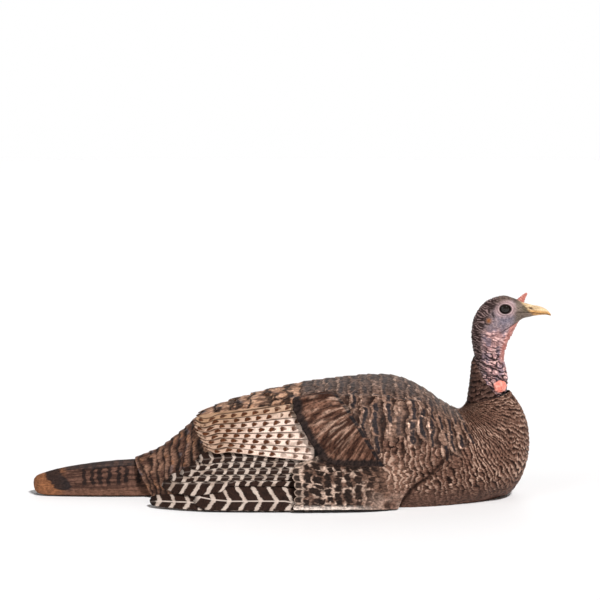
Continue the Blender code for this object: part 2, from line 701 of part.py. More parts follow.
MOVING = {
    "head_lift_axis": ("neck_plug", "spring_washer", "swivel_nut", "swivel_bolt"),
    "head_swivel_axis": ("head_shell", "neck_cape", "neck_bulkhead", "friction_washer", "eye_left",
                         "eye_right"),
}
carrier = None
for axis_name, riders in MOVING.items():
    axis = bpy.data.objects.new(axis_name, None)
    PARTS.objects.link(axis)
    on_axis(axis)
    axis.location.x += X_SHIFT * MM
    bpy.context.view_layer.update()
    if carrier:
        axis.parent = carrier
        axis.matrix_parent_inverse = carrier.matrix_world.inverted()
    for rider in riders:
        piece = bpy.data.objects[rider]
        piece.parent = axis
        piece.matrix_parent_inverse = axis.matrix_world.inverted()
    carrier = axis
bpy.context.view_layer.update()
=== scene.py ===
"""Looks of the laydown hen turkey decoy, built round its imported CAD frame.

Lengths are millimetres until a mesh is made. +X is forward, +Y the bird's left. The station tables are the
CAD model's own, so each skin lies on the CAD surface that it stands for."""

import json
import math

import bpy
import numpy as np
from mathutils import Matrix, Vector
from mathutils.bvhtree import BVHTree
from mathutils.kdtree import KDTree

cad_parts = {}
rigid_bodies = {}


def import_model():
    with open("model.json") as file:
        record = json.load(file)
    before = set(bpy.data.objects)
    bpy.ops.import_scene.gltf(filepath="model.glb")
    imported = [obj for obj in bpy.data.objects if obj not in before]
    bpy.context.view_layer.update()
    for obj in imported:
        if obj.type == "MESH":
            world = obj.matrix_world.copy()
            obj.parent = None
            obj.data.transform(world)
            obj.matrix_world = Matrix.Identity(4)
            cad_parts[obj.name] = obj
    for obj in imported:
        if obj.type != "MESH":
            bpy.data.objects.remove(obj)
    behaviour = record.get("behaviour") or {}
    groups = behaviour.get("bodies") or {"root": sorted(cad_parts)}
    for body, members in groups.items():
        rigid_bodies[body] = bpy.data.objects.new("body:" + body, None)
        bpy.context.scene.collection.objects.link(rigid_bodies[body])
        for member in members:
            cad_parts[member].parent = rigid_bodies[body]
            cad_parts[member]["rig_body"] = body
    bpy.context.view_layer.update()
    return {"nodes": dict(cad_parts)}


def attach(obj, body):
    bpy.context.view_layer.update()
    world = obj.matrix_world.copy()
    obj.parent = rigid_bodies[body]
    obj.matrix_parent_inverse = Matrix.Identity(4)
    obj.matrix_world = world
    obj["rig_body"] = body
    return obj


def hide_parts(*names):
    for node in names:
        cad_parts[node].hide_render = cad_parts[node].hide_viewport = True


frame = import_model()

MM = 0.001
X_SHIFT = 1.6       # brings the middle of the CAD box over the origin
SIDES = {"left": 1, "right": -1}

# ---- the CAD model's stations -------------------------------------------------------------------------
# Body stations, tail to neck seam: upper point x z, lower point x z, half width, share of the way down
# where it is widest, half width at the ground.
BODY = [
    (-233, 54.5, -206, 1, 36, 0.60, 31),
    (-202, 65, -193, 0, 42, 0.62, 36),
    (-180, 80, -176, 0, 51, 0.62, 42),
    (-158, 98, -156, 0, 60, 0.62, 49),
    (-134, 119, -134, 0, 70, 0.62, 57),
    (-103, 134, -103, 0, 82, 0.62, 66),
    (-49, 150, -49, 0, 96, 0.62, 78),
    (16, 164, 16, 0, 106, 0.62, 89),
    (72, 171.5, 72, 0, 110, 0.62, 96),
    (117, 175, 117, 0, 112, 0.62, 101),
    (155, 172.5, 158, 0, 113, 0.61, 103),
    (190, 157, 203, 0, 110, 0.60, 95),
    (216, 139, 247, 0, 103, 0.58, 76),
    (235, 127.5, 288, 0, 93, 0.56, 46),
    (246, 125, 320, 3, 81, 0.54, 0),
    (252, 128, 342, 38, 68, 0.52, 0),
    (255.5, 131.5, 348.5, 80, 55, 0.50, 0),
    (257, 134, 341, 120, 42, 0.50, 0),
    (257.5, 135.5, 320, 153.8, 32.5, 0.50, 0),
]
UNDERCUT = math.radians(62)
# Head stations, neck seam to beak tip: upper point x z, lower point x z, half width.
HEAD = [
    (260.8, 137, 315.2, 153.2, 27.3),
    (262.5, 150, 316.5, 162, 26.2),
    (265, 167, 317.5, 171, 24.5),
    (266.8, 188, 314.5, 187, 22.0),
    (268, 206, 311, 204, 20.4),
    (264, 231, 318, 227, 19.8),
    (264.5, 251, 328, 247, 19.6),
    (269, 266, 333.5, 257, 19.2),
    (278, 280, 339, 260.8, 18.8),
    (292, 290, 343.5, 262.2, 18.2),
    (311, 294.5, 347.5, 263, 16.8),
    (327, 290, 351, 263.8, 13.2),
    (340, 284.5, 355.5, 264.8, 9.8),
    (352, 281, 361, 265.6, 7.6),
    (363, 279, 368, 266.2, 5.8),
    (373, 274.5, 375, 266, 4.0),
    (380.5, 266.6, 380.0, 264.6, 1.0),
]
# Wing stations: x, half width and height of the top edge, half width of the lower edge.
WING = [
    (-212, 46, 34, 100),
    (-183, 44, 44, 116),
    (-150, 42, 84, 127),
    (-119, 45, 112, 134),
    (-60, 50, 137, 136),
    (0, 54, 150, 136),
    (60, 58, 157, 133),
    (120, 62, 160, 127),
    (165, 66, 152, 116),
    (205, 68, 134, 104),
    (240, 70, 104, 84),
]
WING_BULGE = 0.70
WING_FALL = 1.4
WING_CLEAR = 1.2
BODY_WALL = 3.0
PANEL = 2.4
PANEL_LIFT = 9.3
# The wing panel's front edge: height, x.
PANEL_FRONT = [(1.2, 150), (18, 158), (34, 172), (42, 186), (50, 200), (58, 212), (78, 224), (102, 218),
               (126, 202), (142, 184)]
# Flight feathers from the lowest up, PITCH apart along the wing's normal. Line: the lowest one's height and
# the step to the next where x is the span's first value, then the same two where it is the second.
PITCH = 1.7
PRIMARY = {"tip_x": (-203, -140, -187, -177, -160, -146, -136), "half": (13, 19, 17, 16, 16, 16, 16),
           "root_x": (30,) * 7, "line": (6, 11, 7, 9), "span": (30, -180), "lift": 3.0}
SECONDARY = {"tip_x": (-122, -126, -130, -134, -137, -139, -141, -138), "half": (12,) * 6 + (11, 9),
             "root_x": (84, 77, 69, 61, 52, 44, 36, 28), "line": (67, 10.6, 79.5, 4.7), "span": (50, -130),
             "lift": 6.3}
TAIL_WALL = 2.4
# Tail stations: x, top, underside, half width of the deck, half width at the foot.
TAIL = [
    (-383, 22, 12, 3, 6),
    (-379, 26.5, 6, 9, 14),
    (-368, 31, 3, 13, 21),
    (-336, 38.5, 2.6, 15, 26),
    (-285, 46, 2.6, 16, 29),
    (-240, 50, 2.6, 16, 29),
    (-196, 50, 2.6, 16, 27),
]


# ---- numbers over arrays ------------------------------------------------------------------------------
def along(table, t):
    """Catmull-Rom through a table's rows at each t, counted in rows."""
    table = np.asarray(table, float)
    last = len(table) - 1
    i = np.clip(np.floor(t).astype(int), 0, last - 1)
    f = (t - i)[..., None]
    a, b, c, d = (table[np.clip(i + k, 0, last)] for k in (-1, 0, 1, 2))
    curve = 2 * b + (c - a) * f + (2 * a - 5 * b + 4 * c - d) * f * f + (3 * b - a - 3 * c + d) * f ** 3
    return np.moveaxis(0.5 * curve, -1, 0)


def at_x(table, x):
    """The table's other columns at each x, where its first column rises."""
    keys = np.array([row[0] for row in table], float)
    x = np.clip(x, keys[0], keys[-1])
    return along(table, np.interp(x, keys, np.arange(len(keys))))[1:]


def ease(value):
    value = np.clip(value, 0.0, 1.0)
    return value * value * (3 - 2 * value)


def ramp(value, low, high):
    """0 below low to 1 above high; low may be the higher of the two."""
    return ease((value - low) / (high - low))


def bump(value, centre, width):
    return np.exp(-(((value - centre) / width) ** 2))


def chance(a, b=0.0, c=0.0):
    """A repeatable number from 0 to 1 for each set of whole numbers."""
    wave = np.sin(a * 127.1 + b * 311.7 + c * 74.7) * 43758.5453
    return wave - np.floor(wave)


def cloud(points, size, seed=0.0):
    """Value noise from 0 to 1 with cells of the given size, one number or one for each axis."""
    q = points / np.asarray(size, float) + seed
    cell = np.floor(q)
    f = ease(q - cell)
    total = 0.0
    for dx in (0, 1):
        for dy in (0, 1):
            for dz in (0, 1):
                near = [f[..., k] if on else 1 - f[..., k] for k, on in enumerate((dx, dy, dz))]
                total = total + near[0] * near[1] * near[2] * chance(cell[..., 0] + dx, cell[..., 1] + dy,
                                                                      cell[..., 2] + dz)
    return total


def srgb(*levels):
    """A paint colour from 0 to 255 screen levels, as linear light."""
    c = np.array(levels, float) / 255
    return np.where(c <= 0.04045, c / 12.92, ((c + 0.055) / 1.055) ** 2.4)


def over(base, colour, share):
    """Paints colour over base where share is 1. A colour is screen levels as a tuple, or painted values."""
    base, colour = (srgb(*c) if isinstance(c, tuple) else c for c in (base, colour))
    return base + (colour - base) * np.asarray(share)[..., None]


def painted(base, *coats):
    """The base with each coat, a colour and its share, painted over the ones before."""
    for colour, share in coats:
        base = over(base, colour, share)
    return base


def zigzag(value):
    """1 at whole numbers and 0 halfway between them."""
    return np.abs(np.mod(value, 1) - 0.5) * 2


def plane(x, z, depth=0.0):
    """Points for cloud from two coordinates, at one depth in its noise."""
    return np.stack(np.broadcast_arrays(x, z, depth), -1)


def grid(down, across):
    return np.broadcast_arrays(down[:, None], across[None, :])


def grid_quads(index):
    """The faces between the points of a grid, from the points' numbers."""
    corners = [index[:-1, :-1], index[1:, :-1], index[1:, 1:], index[:-1, 1:]]
    return np.stack(corners, -1).reshape(-1, 4).tolist()


def normals(points):
    across = np.gradient(points, axis=1)
    down = np.gradient(points, axis=0)
    n = np.cross(down, across)
    return n / np.maximum(np.linalg.norm(n, axis=-1, keepdims=True), 1e-9)


# ---- meshes -------------------------------------------------------------------------------------------
def coat_layers(tint, crest, flow_along, flow_across):
    """What moulded_paint reads: colour, what stands proud, and places along and across the barbs."""
    return {"tint": tint, "crest": crest, "flow_along": flow_along, "flow_across": flow_across}


def lining_layers(points):
    """Bare dark moulding on the inside of a shell."""
    return coat_layers(srgb(38, 33, 31), 0.0, points[..., 0] * 0.2, points[..., 2] * 0.2)


def widen(layers, rows=(0, 0), cols=(0, 0)):
    """Layers repeated at their edges, for points added before and after a grid's rows and columns."""
    return {key: np.pad(w, (rows, cols) + ((0, 0),) * (w.ndim - 2), "edge") for key, w in layers.items()}


def sheet(name, points, layers, slot, body, node, ring=False, wall=0.0, offset=-1.0, flip=None):
    """A grid of points in millimetres as a smooth mesh that rides on a CAD body, with painted layers. Flip
    turns its faces over, by the order of its rows (0) or of its columns (1)."""
    def ordered(values, shape):
        values = np.broadcast_to(values, shape)
        return values if flip is None else np.flip(values, flip)

    shape = points.shape[:2]
    index = np.arange(shape[0] * shape[1]).reshape(shape)
    if ring:
        index[:, -1] = index[:, 0]
    mesh = bpy.data.meshes.new(name)
    placed = (ordered(points, points.shape) + (X_SHIFT, 0, 0)).reshape(-1, 3) * MM
    mesh.from_pydata(placed.tolist(), [], grid_quads(index))
    for layer, values in layers.items():
        if layer == "tint":
            colour = np.ones(shape + (4,), np.float32)
            colour[..., :3] = np.clip(ordered(values, points.shape), 0, 1)
            mesh.attributes.new(layer, "FLOAT_COLOR", "POINT").data.foreach_set("color", colour.ravel())
        else:
            number = np.float32(ordered(values, shape))
            mesh.attributes.new(layer, "FLOAT", "POINT").data.foreach_set("value", number.ravel())
    mesh.shade_smooth()
    dress(mesh, name, slot, body, node, wall, offset)


def dress(mesh, name, slot, body, node, wall=0.0, offset=-1.0):
    mesh.materials.append(MATERIALS[slot])
    obj = bpy.data.objects.new(name, mesh)
    bpy.context.scene.collection.objects.link(obj)
    if wall:
        shell = obj.modifiers.new("wall", "SOLIDIFY")
        shell.thickness = wall * MM
        shell.offset = offset
    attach(obj, body)
    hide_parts(node)
    return obj


# ---- materials ----------------------------------------------------------------------------------------
class Value:
    """A node's output. Sums and products of it add math nodes to its material."""

    def __init__(self, paint, socket):
        self.paint = paint
        self.socket = socket

    def __add__(self, other):
        return self.paint.math("ADD", self, other)

    def __sub__(self, other):
        return self.paint.math("SUBTRACT", self, other)

    def __mul__(self, other):
        return self.paint.math("MULTIPLY", self, other)


class Paint:
    """A Principled material and short ways to add nodes to it."""

    def __init__(self, name, roughness=0.5, metallic=0.0, specular=0.5):
        self.material = bpy.data.materials.new(name)
        self.material.use_nodes = True
        self.tree = self.material.node_tree
        self.shader = self.tree.nodes["Principled BSDF"]
        self.shader.inputs["Roughness"].default_value = roughness
        self.shader.inputs["Metallic"].default_value = metallic
        self.shader.inputs["Specular IOR Level"].default_value = specular

    def join(self, value, socket):
        if isinstance(value, Value):
            self.tree.links.new(value.socket, socket)
        else:
            socket.default_value = value

    def node(self, kind, output, inputs, **settings):
        """A new node with these settings and inputs, as the output of it that is used."""
        made = self.tree.nodes.new(kind)
        for key, value in settings.items():
            setattr(made, key, value)
        for key, value in inputs.items():
            self.join(value, made.inputs[key])
        return Value(self, made.outputs[output])

    def math(self, operation, *values):
        return self.node("ShaderNodeMath", 0, dict(enumerate(values)), operation=operation)

    def layer(self, name, output="Fac"):
        return self.node("ShaderNodeAttribute", output, {}, attribute_name=name)

    def place(self):
        return self.node("ShaderNodeTexCoord", "Object", {})

    def noise(self, vector, scale=1.0, detail=3.0):
        inputs = {"Vector": vector, "Scale": scale, "Detail": detail, "Roughness": 0.6}
        return self.node("ShaderNodeTexNoise", "Fac", inputs)

    def vector(self, x, y, z=0.0):
        return self.node("ShaderNodeCombineXYZ", 0, {0: x, 1: y, 2: z})

    def between(self, value, low, high):
        """0 to 1 as value goes from low to high, smoothly."""
        inputs = {"Value": value, "From Min": low, "From Max": high}
        return self.node("ShaderNodeMapRange", "Result", inputs, interpolation_type="SMOOTHSTEP")

    def mix(self, share, a, b):
        """Colour a, with colour b over it where share is 1."""
        factor_socket, a_socket, b_socket, result_socket = 0, 6, 7, 2    # the colour ones of the node
        a, b = (c if isinstance(c, Value) else (*c, 1.0) for c in (a, b))
        inputs = {factor_socket: share, a_socket: a, b_socket: b}
        return self.node("ShaderNodeMix", result_socket, inputs, data_type="RGBA")

    def scale(self, colour, factor):
        return self.node("ShaderNodeVectorMath", 0, {0: colour, "Scale": factor}, operation="SCALE")

    def relief(self, height, strength, distance):
        inputs = {"Height": height, "Strength": strength, "Distance": distance}
        self.join(self.node("ShaderNodeBump", "Normal", inputs), self.shader.inputs["Normal"])

    def finish(self, colour, roughness=None, metallic=None):
        """The material, with its colour and, when given, its roughness and metallic inputs."""
        for key, value in (("Base Color", colour), ("Roughness", roughness), ("Metallic", metallic)):
            if value is not None:
                self.join(value, self.shader.inputs[key])
        return self.material


def moulded_paint(name, dry_brush_highlight, fleck=0.5, gleam=0.0, gloss=0.08, dry=0.62, smooth=0.2, relief=0.8):
    """Painted moulding: the vertex paint, broken up by barbs that run along the feathers, with a pale
    dry-brush coat on what stands proud (the crest layer), which is also a painted highlight."""
    paint = Paint(name, specular=gloss)
    barbs = paint.noise(paint.vector(paint.layer("flow_along"), paint.layer("flow_across")), detail=2.0)
    grain = paint.noise(paint.place(), 260.0, 4.0)
    both = barbs * 0.55 + grain * 0.45
    shade = paint.between(both, 0.38, 0.62) * fleck + (1.0 - 0.55 * fleck)
    lit = paint.scale(paint.layer("tint", "Color"), shade)
    # A pale dry-brush coat on what stands proud, which is also a painted highlight.
    brushed_highlight = paint.between(paint.layer("crest") * (both + 0.2), 0.22, 0.74)
    paint.relief(both, relief, 0.0012)
    rough = grain * 0.14 + (dry - 0.07) + brushed_highlight * -smooth
    return paint.finish(paint.mix(brushed_highlight * 0.72, lit, dry_brush_highlight), rough, brushed_highlight * gleam)


def feather_paint(name, pale, dark, period, fill, skew, spots=False):
    """A flight feather's vane: bars or drops placed by distance from the tip and from the shaft. The tint
    layer colours the ground."""
    paint = Paint(name, specular=0.1)
    reach, off, number, ink = (paint.layer(key) for key in ("from_tip", "off_shaft", "feather_number", "ink"))
    side = paint.math("ABSOLUTE", off)
    wobble = paint.noise(paint.vector(reach * 0.13, off * 0.22, number))
    fray = paint.noise(paint.vector(reach * 0.25, off * 2.1, number), detail=2.0)
    slant = side * skew + (fray * 4.5 + (wobble * 6.0 + reach))
    offset = paint.math("FRACT", number * 0.37 + paint.math("DIVIDE", slant, period)) - 0.5
    place = paint.math("ABSOLUTE", offset)
    streak = paint.noise(paint.vector(slant * 1.5, off * 0.14, number), detail=2.0)
    light = paint.scale(paint.layer("tint", "Color"), paint.between(streak, 0.3, 0.7) * 0.36 + 0.86)
    inked = paint.mix(paint.between(streak, 0.35, 0.65), dark * 0.5, dark * 2.0)
    if spots:
        length = paint.math("DIVIDE", place, fill)
        width = paint.layer("drop_off") * (offset * 1.6 + 1.0)
        drop = paint.between(fray * 1.1 + (length * length + width * width), 2.1, 1.25)
        mark = drop * (offset * -0.8 + 1.15) * ink
    else:
        mark = paint.between(place - ink * fill, 0.035, -0.035)
    colour = paint.mix(mark, light, inked)
    colour = paint.mix(paint.between(side, 1.1, 0.5) * paint.layer("quill"), colour, pale)
    colour = paint.mix(paint.layer("edge_shade"), colour, dark * 0.45)
    barbs = paint.noise(paint.vector(slant * 2.2, off * 0.1, number), detail=1.0)
    paint.relief(barbs, 0.7, 0.0009)
    return paint.finish(colour, barbs * 0.2 + 0.45)


def moulded_plastic(name, colour, roughness=0.5, metallic=0.0, grain_scale=900.0):
    """Plain moulded or turned material with a fine grain and slight unevenness of tone."""
    paint = Paint(name, roughness, metallic)
    grain = paint.noise(paint.place(), grain_scale, 2.0)
    shade = paint.mix(paint.noise(paint.place(), 60.0), colour * 0.75, np.minimum(1.0, colour * 1.3))
    paint.relief(grain, 0.35, 0.0004)
    return paint.finish(shade, grain * 0.2 + (roughness - 0.1))


def eye_glass():
    paint = Paint("eye_glass", roughness=0.05, specular=0.35)
    spot = paint.noise(paint.place(), 260.0, 2.0)
    return paint.finish(paint.mix(spot, (0.004, 0.0035, 0.003), (0.02, 0.013, 0.009)))


# The first colour given to moulded_paint is its pale dry-brush coat, which is also a painted highlight.
MATERIALS = {
    "plumage": moulded_paint("bronze_plumage", srgb(206, 172, 152), 1.0, gleam=0.45, dry=0.55, relief=1.0),
    "tail_plumage": moulded_paint("tail_plumage", srgb(150, 112, 84), fleck=0.8),
    "head_skin": moulded_paint("head_skin", srgb(214, 184, 178), 0.4, 0.0, 0.14, 0.5, 0.1, 0.6),
    "barred_feather": feather_paint("barred_vane", srgb(206, 188, 176), srgb(38, 23, 17), 21.0, 0.37, 0.62),
    "cream_feather": feather_paint("cream_vane", srgb(218, 192, 172), srgb(76, 42, 24), 15.5, 0.27, 0.15,
                                   spots=True),
    "eye": eye_glass(),
    "black_plastic": moulded_plastic("black_moulding", srgb(42, 42, 43)),
    "steel": moulded_plastic("zinc_plate", srgb(190, 190, 194), 0.32, 1.0, 1400.0),
    "rubber": moulded_plastic("rubber_pad", srgb(34, 33, 33), 0.75),
}


# ---- feathers as shingles -----------------------------------------------------------------------------
def shingles(row, col, reach=0.58, tip=0.5, jitter=0.22, seed=0.0):
    """Overlapping feathers on a staggered lattice, counted in rows back from the head and columns across.
    For each point: its feather's row and column, place along it (1 at the tip) and across it (-1 to 1)."""
    shape = np.broadcast(row, col).shape
    row = np.broadcast_to(row, shape)
    col = np.broadcast_to(col, shape)
    own_row = np.zeros(shape)
    own_col = np.zeros(shape)
    gap = np.full(shape, 0.5)
    across = np.zeros(shape)
    taken = np.zeros(shape, bool)
    for step in (-1, 0, 1):
        i = np.floor(row) + step
        best = np.full(shape, -1.0)
        choice = [np.zeros(shape), np.zeros(shape)]
        stagger = 0.5 * np.mod(i, 2)
        for side in (0, 1):
            j = np.floor(col - stagger) + side
            centre = j + stagger + jitter * (chance(i, j, seed) - 0.5)
            q = (col - centre) / reach
            inside = np.abs(q) < 1
            edge = i + 1 + jitter * (chance(j, i, seed + 3) - 0.5)
            edge = edge + tip * (np.sqrt(np.clip(1 - q * q, 0, 1)) - 1)
            room = np.where(inside, edge - row, -1.0)
            better = room > best
            best = np.where(better, room, best)
            choice = [np.where(better, q, choice[0]), np.where(better, j, choice[1])]
        fresh = (best > 0) & ~taken
        gap = np.where(fresh, best, gap)
        across = np.where(fresh, choice[0], across)
        own_col = np.where(fresh, choice[1], own_col)
        own_row = np.where(fresh, i, own_row)
        taken |= fresh
    return own_row, own_col, 1 - gap, across


def scale_height(p, q):
    """Relief of one feather: rises to its tip, crowned across."""
    return np.clip(p, 0, 1) ** 0.8 * (1 - 0.4 * q * q) * ramp(1 - p, -0.02, 0.10)


# ---- body ---------------------------------------------------------------------------------------------
def body_point(t, v):
    xt, zt, xb, zb, half, widest, base = along(BODY, t)
    base = np.maximum(base, 0.0)
    last = UNDERCUT + (math.pi / 2 - UNDERCUT) * np.clip(1 - base / 40, 0, 1)
    s = np.abs(v)
    a = s * math.pi
    b = (s - 0.5) * 2 * last
    upper = s < 0.5
    low_y = base + (half - base) * (np.cos(b) - np.cos(last)) / (1 - np.cos(last))
    y = np.where(upper, half * np.sin(a), low_y)
    f = np.where(upper, widest * (1 - np.cos(a)), widest + (1 - widest) * np.sin(b) / np.sin(last))
    return np.stack([xt + (xb - xt) * f, np.sign(v) * y, zt + (zb - zt) * f], -1)


def even_stations(surface, v, high, count, weight=None):
    """Station numbers from 0 to high, even along a surface's line v, and closer where weight is larger."""
    t = np.linspace(0, high, 2000)
    p = surface(t, np.full_like(t, v))
    step = np.linalg.norm(np.diff(p, axis=0), axis=1)
    if weight is not None:
        step = step * weight(t[1:])
    run = np.concatenate([[0], np.cumsum(step)])
    return np.interp(np.linspace(0, run[-1], count), run, t)


class NeckRows:
    """Feather rows counted back from the neck along the body line v; lengths gives row length by station."""

    def __init__(self, v, lengths):
        self.t = np.linspace(18, 0, 2000)
        p = body_point(self.t, np.full_like(self.t, v))
        step = np.linalg.norm(np.diff(p, axis=0), axis=1)
        size = np.interp(self.t[1:], *zip(*lengths))
        self.row = np.concatenate([[0], np.cumsum(step / size)])

    def __call__(self, t):
        return np.interp(-t, -self.t, self.row)

    def station(self, row):
        return np.interp(row, self.row, self.t)


CREASE = ([0, 4, 28, 47, 74, 94], [151, 152, 168, 191, 217, 226])
FINE_ROWS = NeckRows(0.62, [(0, 11), (9, 9), (13, 7.5), (15.5, 6.5), (18, 5.5)])
MANTLE_ROWS = NeckRows(0.25, [(0, 17), (10, 16.5), (12, 15), (15, 8), (18, 4)])
PLATE_ROWS = NeckRows(0.15, [(0, 13), (3.2, 13.5), (4.4, 22), (6, 28), (18, 28)])
FINE_COLS = 31.0
MANTLE_COLS = 13.0
PLATE_COLS = 6.0

PAINTED_SHADE_BROWN = (33, 16, 10)
SLATE = (32, 29, 33)


def fine_coat(base, p, i, j, calm):
    """Small dark bronze feathers: their paint, with painted shade and highlights, and how much dry-brushing
    they catch.
    """
    patch = cloud(base, 24, 4.0)
    own = chance(i, j, 2.0)
    glow = bump(base[..., 0], 120, 55) * bump(base[..., 2], 52, 34)
    # Painted shade at each feather's base, under the tip of the one before. The paler tips are dry-brush
    # paint that is also a painted highlight, and glow is a painted sheen low on the breast.
    coat = painted(
        PAINTED_SHADE_BROWN,
        ((98, 69, 57), ramp(p, 0.02, 0.5)),
        ((146, 112, 94), ramp(p, 0.5, 0.95) * (0.15 + 0.5 * own)),
        ((90, 66, 57), (1 - calm) * 0.7),
        ((150, 114, 96), glow * 0.6 * ramp(patch, 0.15, 0.6)))
    crest = ramp(p, 0.35, 0.85) * (0.35 + 0.75 * patch) * (0.6 + 0.5 * own) * (0.35 + 0.65 * calm)
    return coat, crest * (1 + 1.1 * glow)


def mantle_coat(base, p, q, i, j):
    """Larger shoulder and back feathers, each with a slate bar behind its bronze tip."""
    own = chance(i, j, 2.0)
    other = chance(j, i, 6.0)
    speck = cloud(base, 2.6, 8.0)
    start = 0.22 + 0.14 * own
    lean = p - 0.14 * np.abs(q) + 0.16 * (speck - 0.5)
    bar = ramp(lean, start, start + 0.08) * ramp(lean, 0.74, 0.64)
    bar = bar * ramp(np.abs(q) + 0.2 * (speck - 0.5), 0.86, 0.72)
    bar = bar * ramp(other, 0.10, 0.22) * ramp(speck + 0.6 * other, 0.20, 0.40)
    coat = painted(
        (62, 43, 35),
        ((120, 92, 78), ramp(p, 0.1, 0.5)),
        ((136, 104, 86), ramp(p, 0.66, 0.9) * 0.6 * other * ramp(speck, 0.3, 0.6)),
        (SLATE, bar * 0.94),
        # Painted shade at each feather's base, under the tip of the one before.
        (PAINTED_SHADE_BROWN, ramp(p, 0.14, 0.0) * 0.75))
    scratch = ramp(cloud(base, (2.2, 3, 9.0), 12.0) + 0.5 * cloud(base, 12.0, 5.0), 0.48, 1.05)
    return coat, (0.45 + 0.35 * ramp(p, 0.3, 0.7)) * (1 - bar) * scratch


def plate_coat(base, p, i, j):
    """Rump feathers: russet plates with a dark bar near the tip, duller towards the tail."""
    own = chance(i, j, 2.0)
    speck = cloud(base, (4, 4, 3), 8.0)
    streak = cloud(base, (16, 5, 5), 6.0)
    x = base[..., 0]
    tailward = ramp(x, -115, -140)
    wave = p + 0.2 * (speck - 0.5)
    bar = ramp(wave, 0.60 + 0.14 * tailward, 0.68 + 0.14 * tailward)
    bar = bar * ramp(wave, 0.95 + 0.4 * tailward, 0.88 + 0.4 * tailward)
    bar = bar * ramp(speck + 0.6 * own + 0.6 * tailward, 0.2, 0.45)
    dull = over((74, 50, 42), (124, 90, 74), ramp(p, 0.2, 0.6) * ramp(streak + 0.3 * own, 0.4, 0.8))
    coat = painted(
        (102, 74, 60),
        ((184, 144, 118), ramp(streak, 0.28, 0.68)),
        ((192, 154, 128), ramp(own, 0.5, 0.9) * ramp(p, 0.2, 0.4) * 0.6),
        (dull, ramp(x, -110, -145) * 0.85),
        ((158, 110, 80), ramp(cloud(base, (11, 9, 9), 21.0), 0.5, 0.8) * ramp(p, 0.25, 0.6) * 0.6),
        ((82, 80, 86), ramp(cloud(base, (13, 10, 8), 33.0), 0.60, 0.78) * ramp(p, 0.3, 0.6) * 0.6),
        ((30, 21, 19), bar * 0.9),
        # Painted shade at each plate's base, under the tip of the one before.
        ((34, 24, 20), ramp(p, 0.16, 0.0) * 0.85))
    return coat, 0.5 * ramp(p, 0.3, 0.9) * (1 - bar) * own


def plume(base, t, v):
    """Feathers at surface points with body coordinates t and v: their paint, crest and relief."""
    x, y, z = np.moveaxis(base, -1, 0)
    across = np.abs(v)
    ragged = cloud(base, 17) - 0.5 + 0.75 * (cloud(base, 6.5, 3.0) - 0.5)
    sway = 1.3 * (cloud(base, 12, 7.0) - 0.5)
    fine = shingles(FINE_ROWS(t) + ragged, v * FINE_COLS + sway, tip=0.35, jitter=0.45, seed=1.0)
    mantle = shingles(MANTLE_ROWS(t) + 0.35 * ragged, v * MANTLE_COLS + 0.4 * sway, 0.6, 0.3, 0.35, 5.0)
    plate = shingles(PLATE_ROWS(t) + 0.55 * ragged, v * PLATE_COLS + 0.4 * sway, 0.62, 0.3, 0.4, 9.0)
    own_t = MANTLE_ROWS.station(mantle[0] + 0.5)
    own_v = np.abs(mantle[1] + 0.5 * np.mod(mantle[0], 2)) / MANTLE_COLS
    bend = 0.43 - 0.10 * ramp(own_t, 11.2, 13.2) - 0.05 * ramp(own_t, 8.5, 7.0)
    on_mantle = (own_v < bend + 0.05 * (chance(mantle[1], mantle[0], 8.0) - 0.5)) & (own_t < 13.4)
    plate_t = PLATE_ROWS.station(plate[0] + 0.5)
    on_plate = plate_t < 7.2 - 0.8 * across + 0.9 * (chance(plate[1], 3.0, plate[0]) - 0.5)

    def by_kind(small, large, rump):
        """The value of the kind of feather that covers each point."""
        wide = (..., None) if np.ndim(small) > 2 else ...
        return np.where(on_plate[wide], rump, np.where(on_mantle[wide], large, small))

    i, j, p, q = (by_kind(*kinds) for kinds in zip(fine, mantle, plate))
    calm = ramp(z, 4, 40)
    small, small_crest = fine_coat(base, p, i, j, calm)
    large, large_crest = mantle_coat(base, p, q, i, j)
    large = over(large, (88, 78, 74), ramp(across, 0.24, 0.12) * 0.5 * ramp(x, -60, 20))
    rump, rump_crest = plate_coat(base, p, i, j)
    coat = by_kind(small, large, rump)
    crest = by_kind(small_crest, large_crest, rump_crest)
    height = by_kind(0.7 + 1.15 * calm, 1.5, np.where(plate_t < 4.0, 2.0, 3.0))
    barbs = zigzag(q * 2.5 + chance(i, j) * 3)
    relief = height * (scale_height(p, q) + 0.14 * barbs * ramp(p, 0.1, 0.7)) + 0.7 * (cloud(base, 6) - 0.5)
    relief = relief + 1.5 * ramp(x, 8, 16) * ramp(across, 0.36, 0.28) * on_mantle
    # Painted shade in the groove along the front of the wing panel, where no dry-brushing goes.
    groove_shade = bump(x - np.interp(z, *CREASE), 1.5, 4.0) * ramp(z, 98, 74) * ramp(across, 0.35, 0.45)
    return over(coat, PAINTED_SHADE_BROWN, groove_shade * 0.85), crest * (1 - groove_shade), relief * ramp(t, 0.0, 0.7)


def body_skin():
    stations = even_stations(body_point, 0.6, 18, 520, lambda t: 1.0 + 0.9 * ramp(t, 10, 13))
    t, v = grid(stations, np.linspace(-1, 1, 361))
    base = body_point(t, v)
    coat, crest, relief = plume(base, t, v)
    points = base + normals(base) * relief[..., None]
    points[..., 2] = np.maximum(points[..., 2], 0.0)
    run = np.linalg.norm(np.diff(base, axis=0, prepend=base[:1]), axis=-1).cumsum(0)
    layers = coat_layers(coat, crest, run * 0.13, v * 100.0)
    sheet("body_skin", points, layers, "plumage", "body", "body_shell")

    inner = body_point(*grid(np.linspace(0, 18, 60), np.linspace(-1, 1, 61)))
    inner = inner - normals(inner) * BODY_WALL
    inner[..., 2] = np.maximum(inner[..., 2], 0.0)
    sheet("body_lining", inner, lining_layers(inner), "plumage", "body", "body_shell", flip=1)


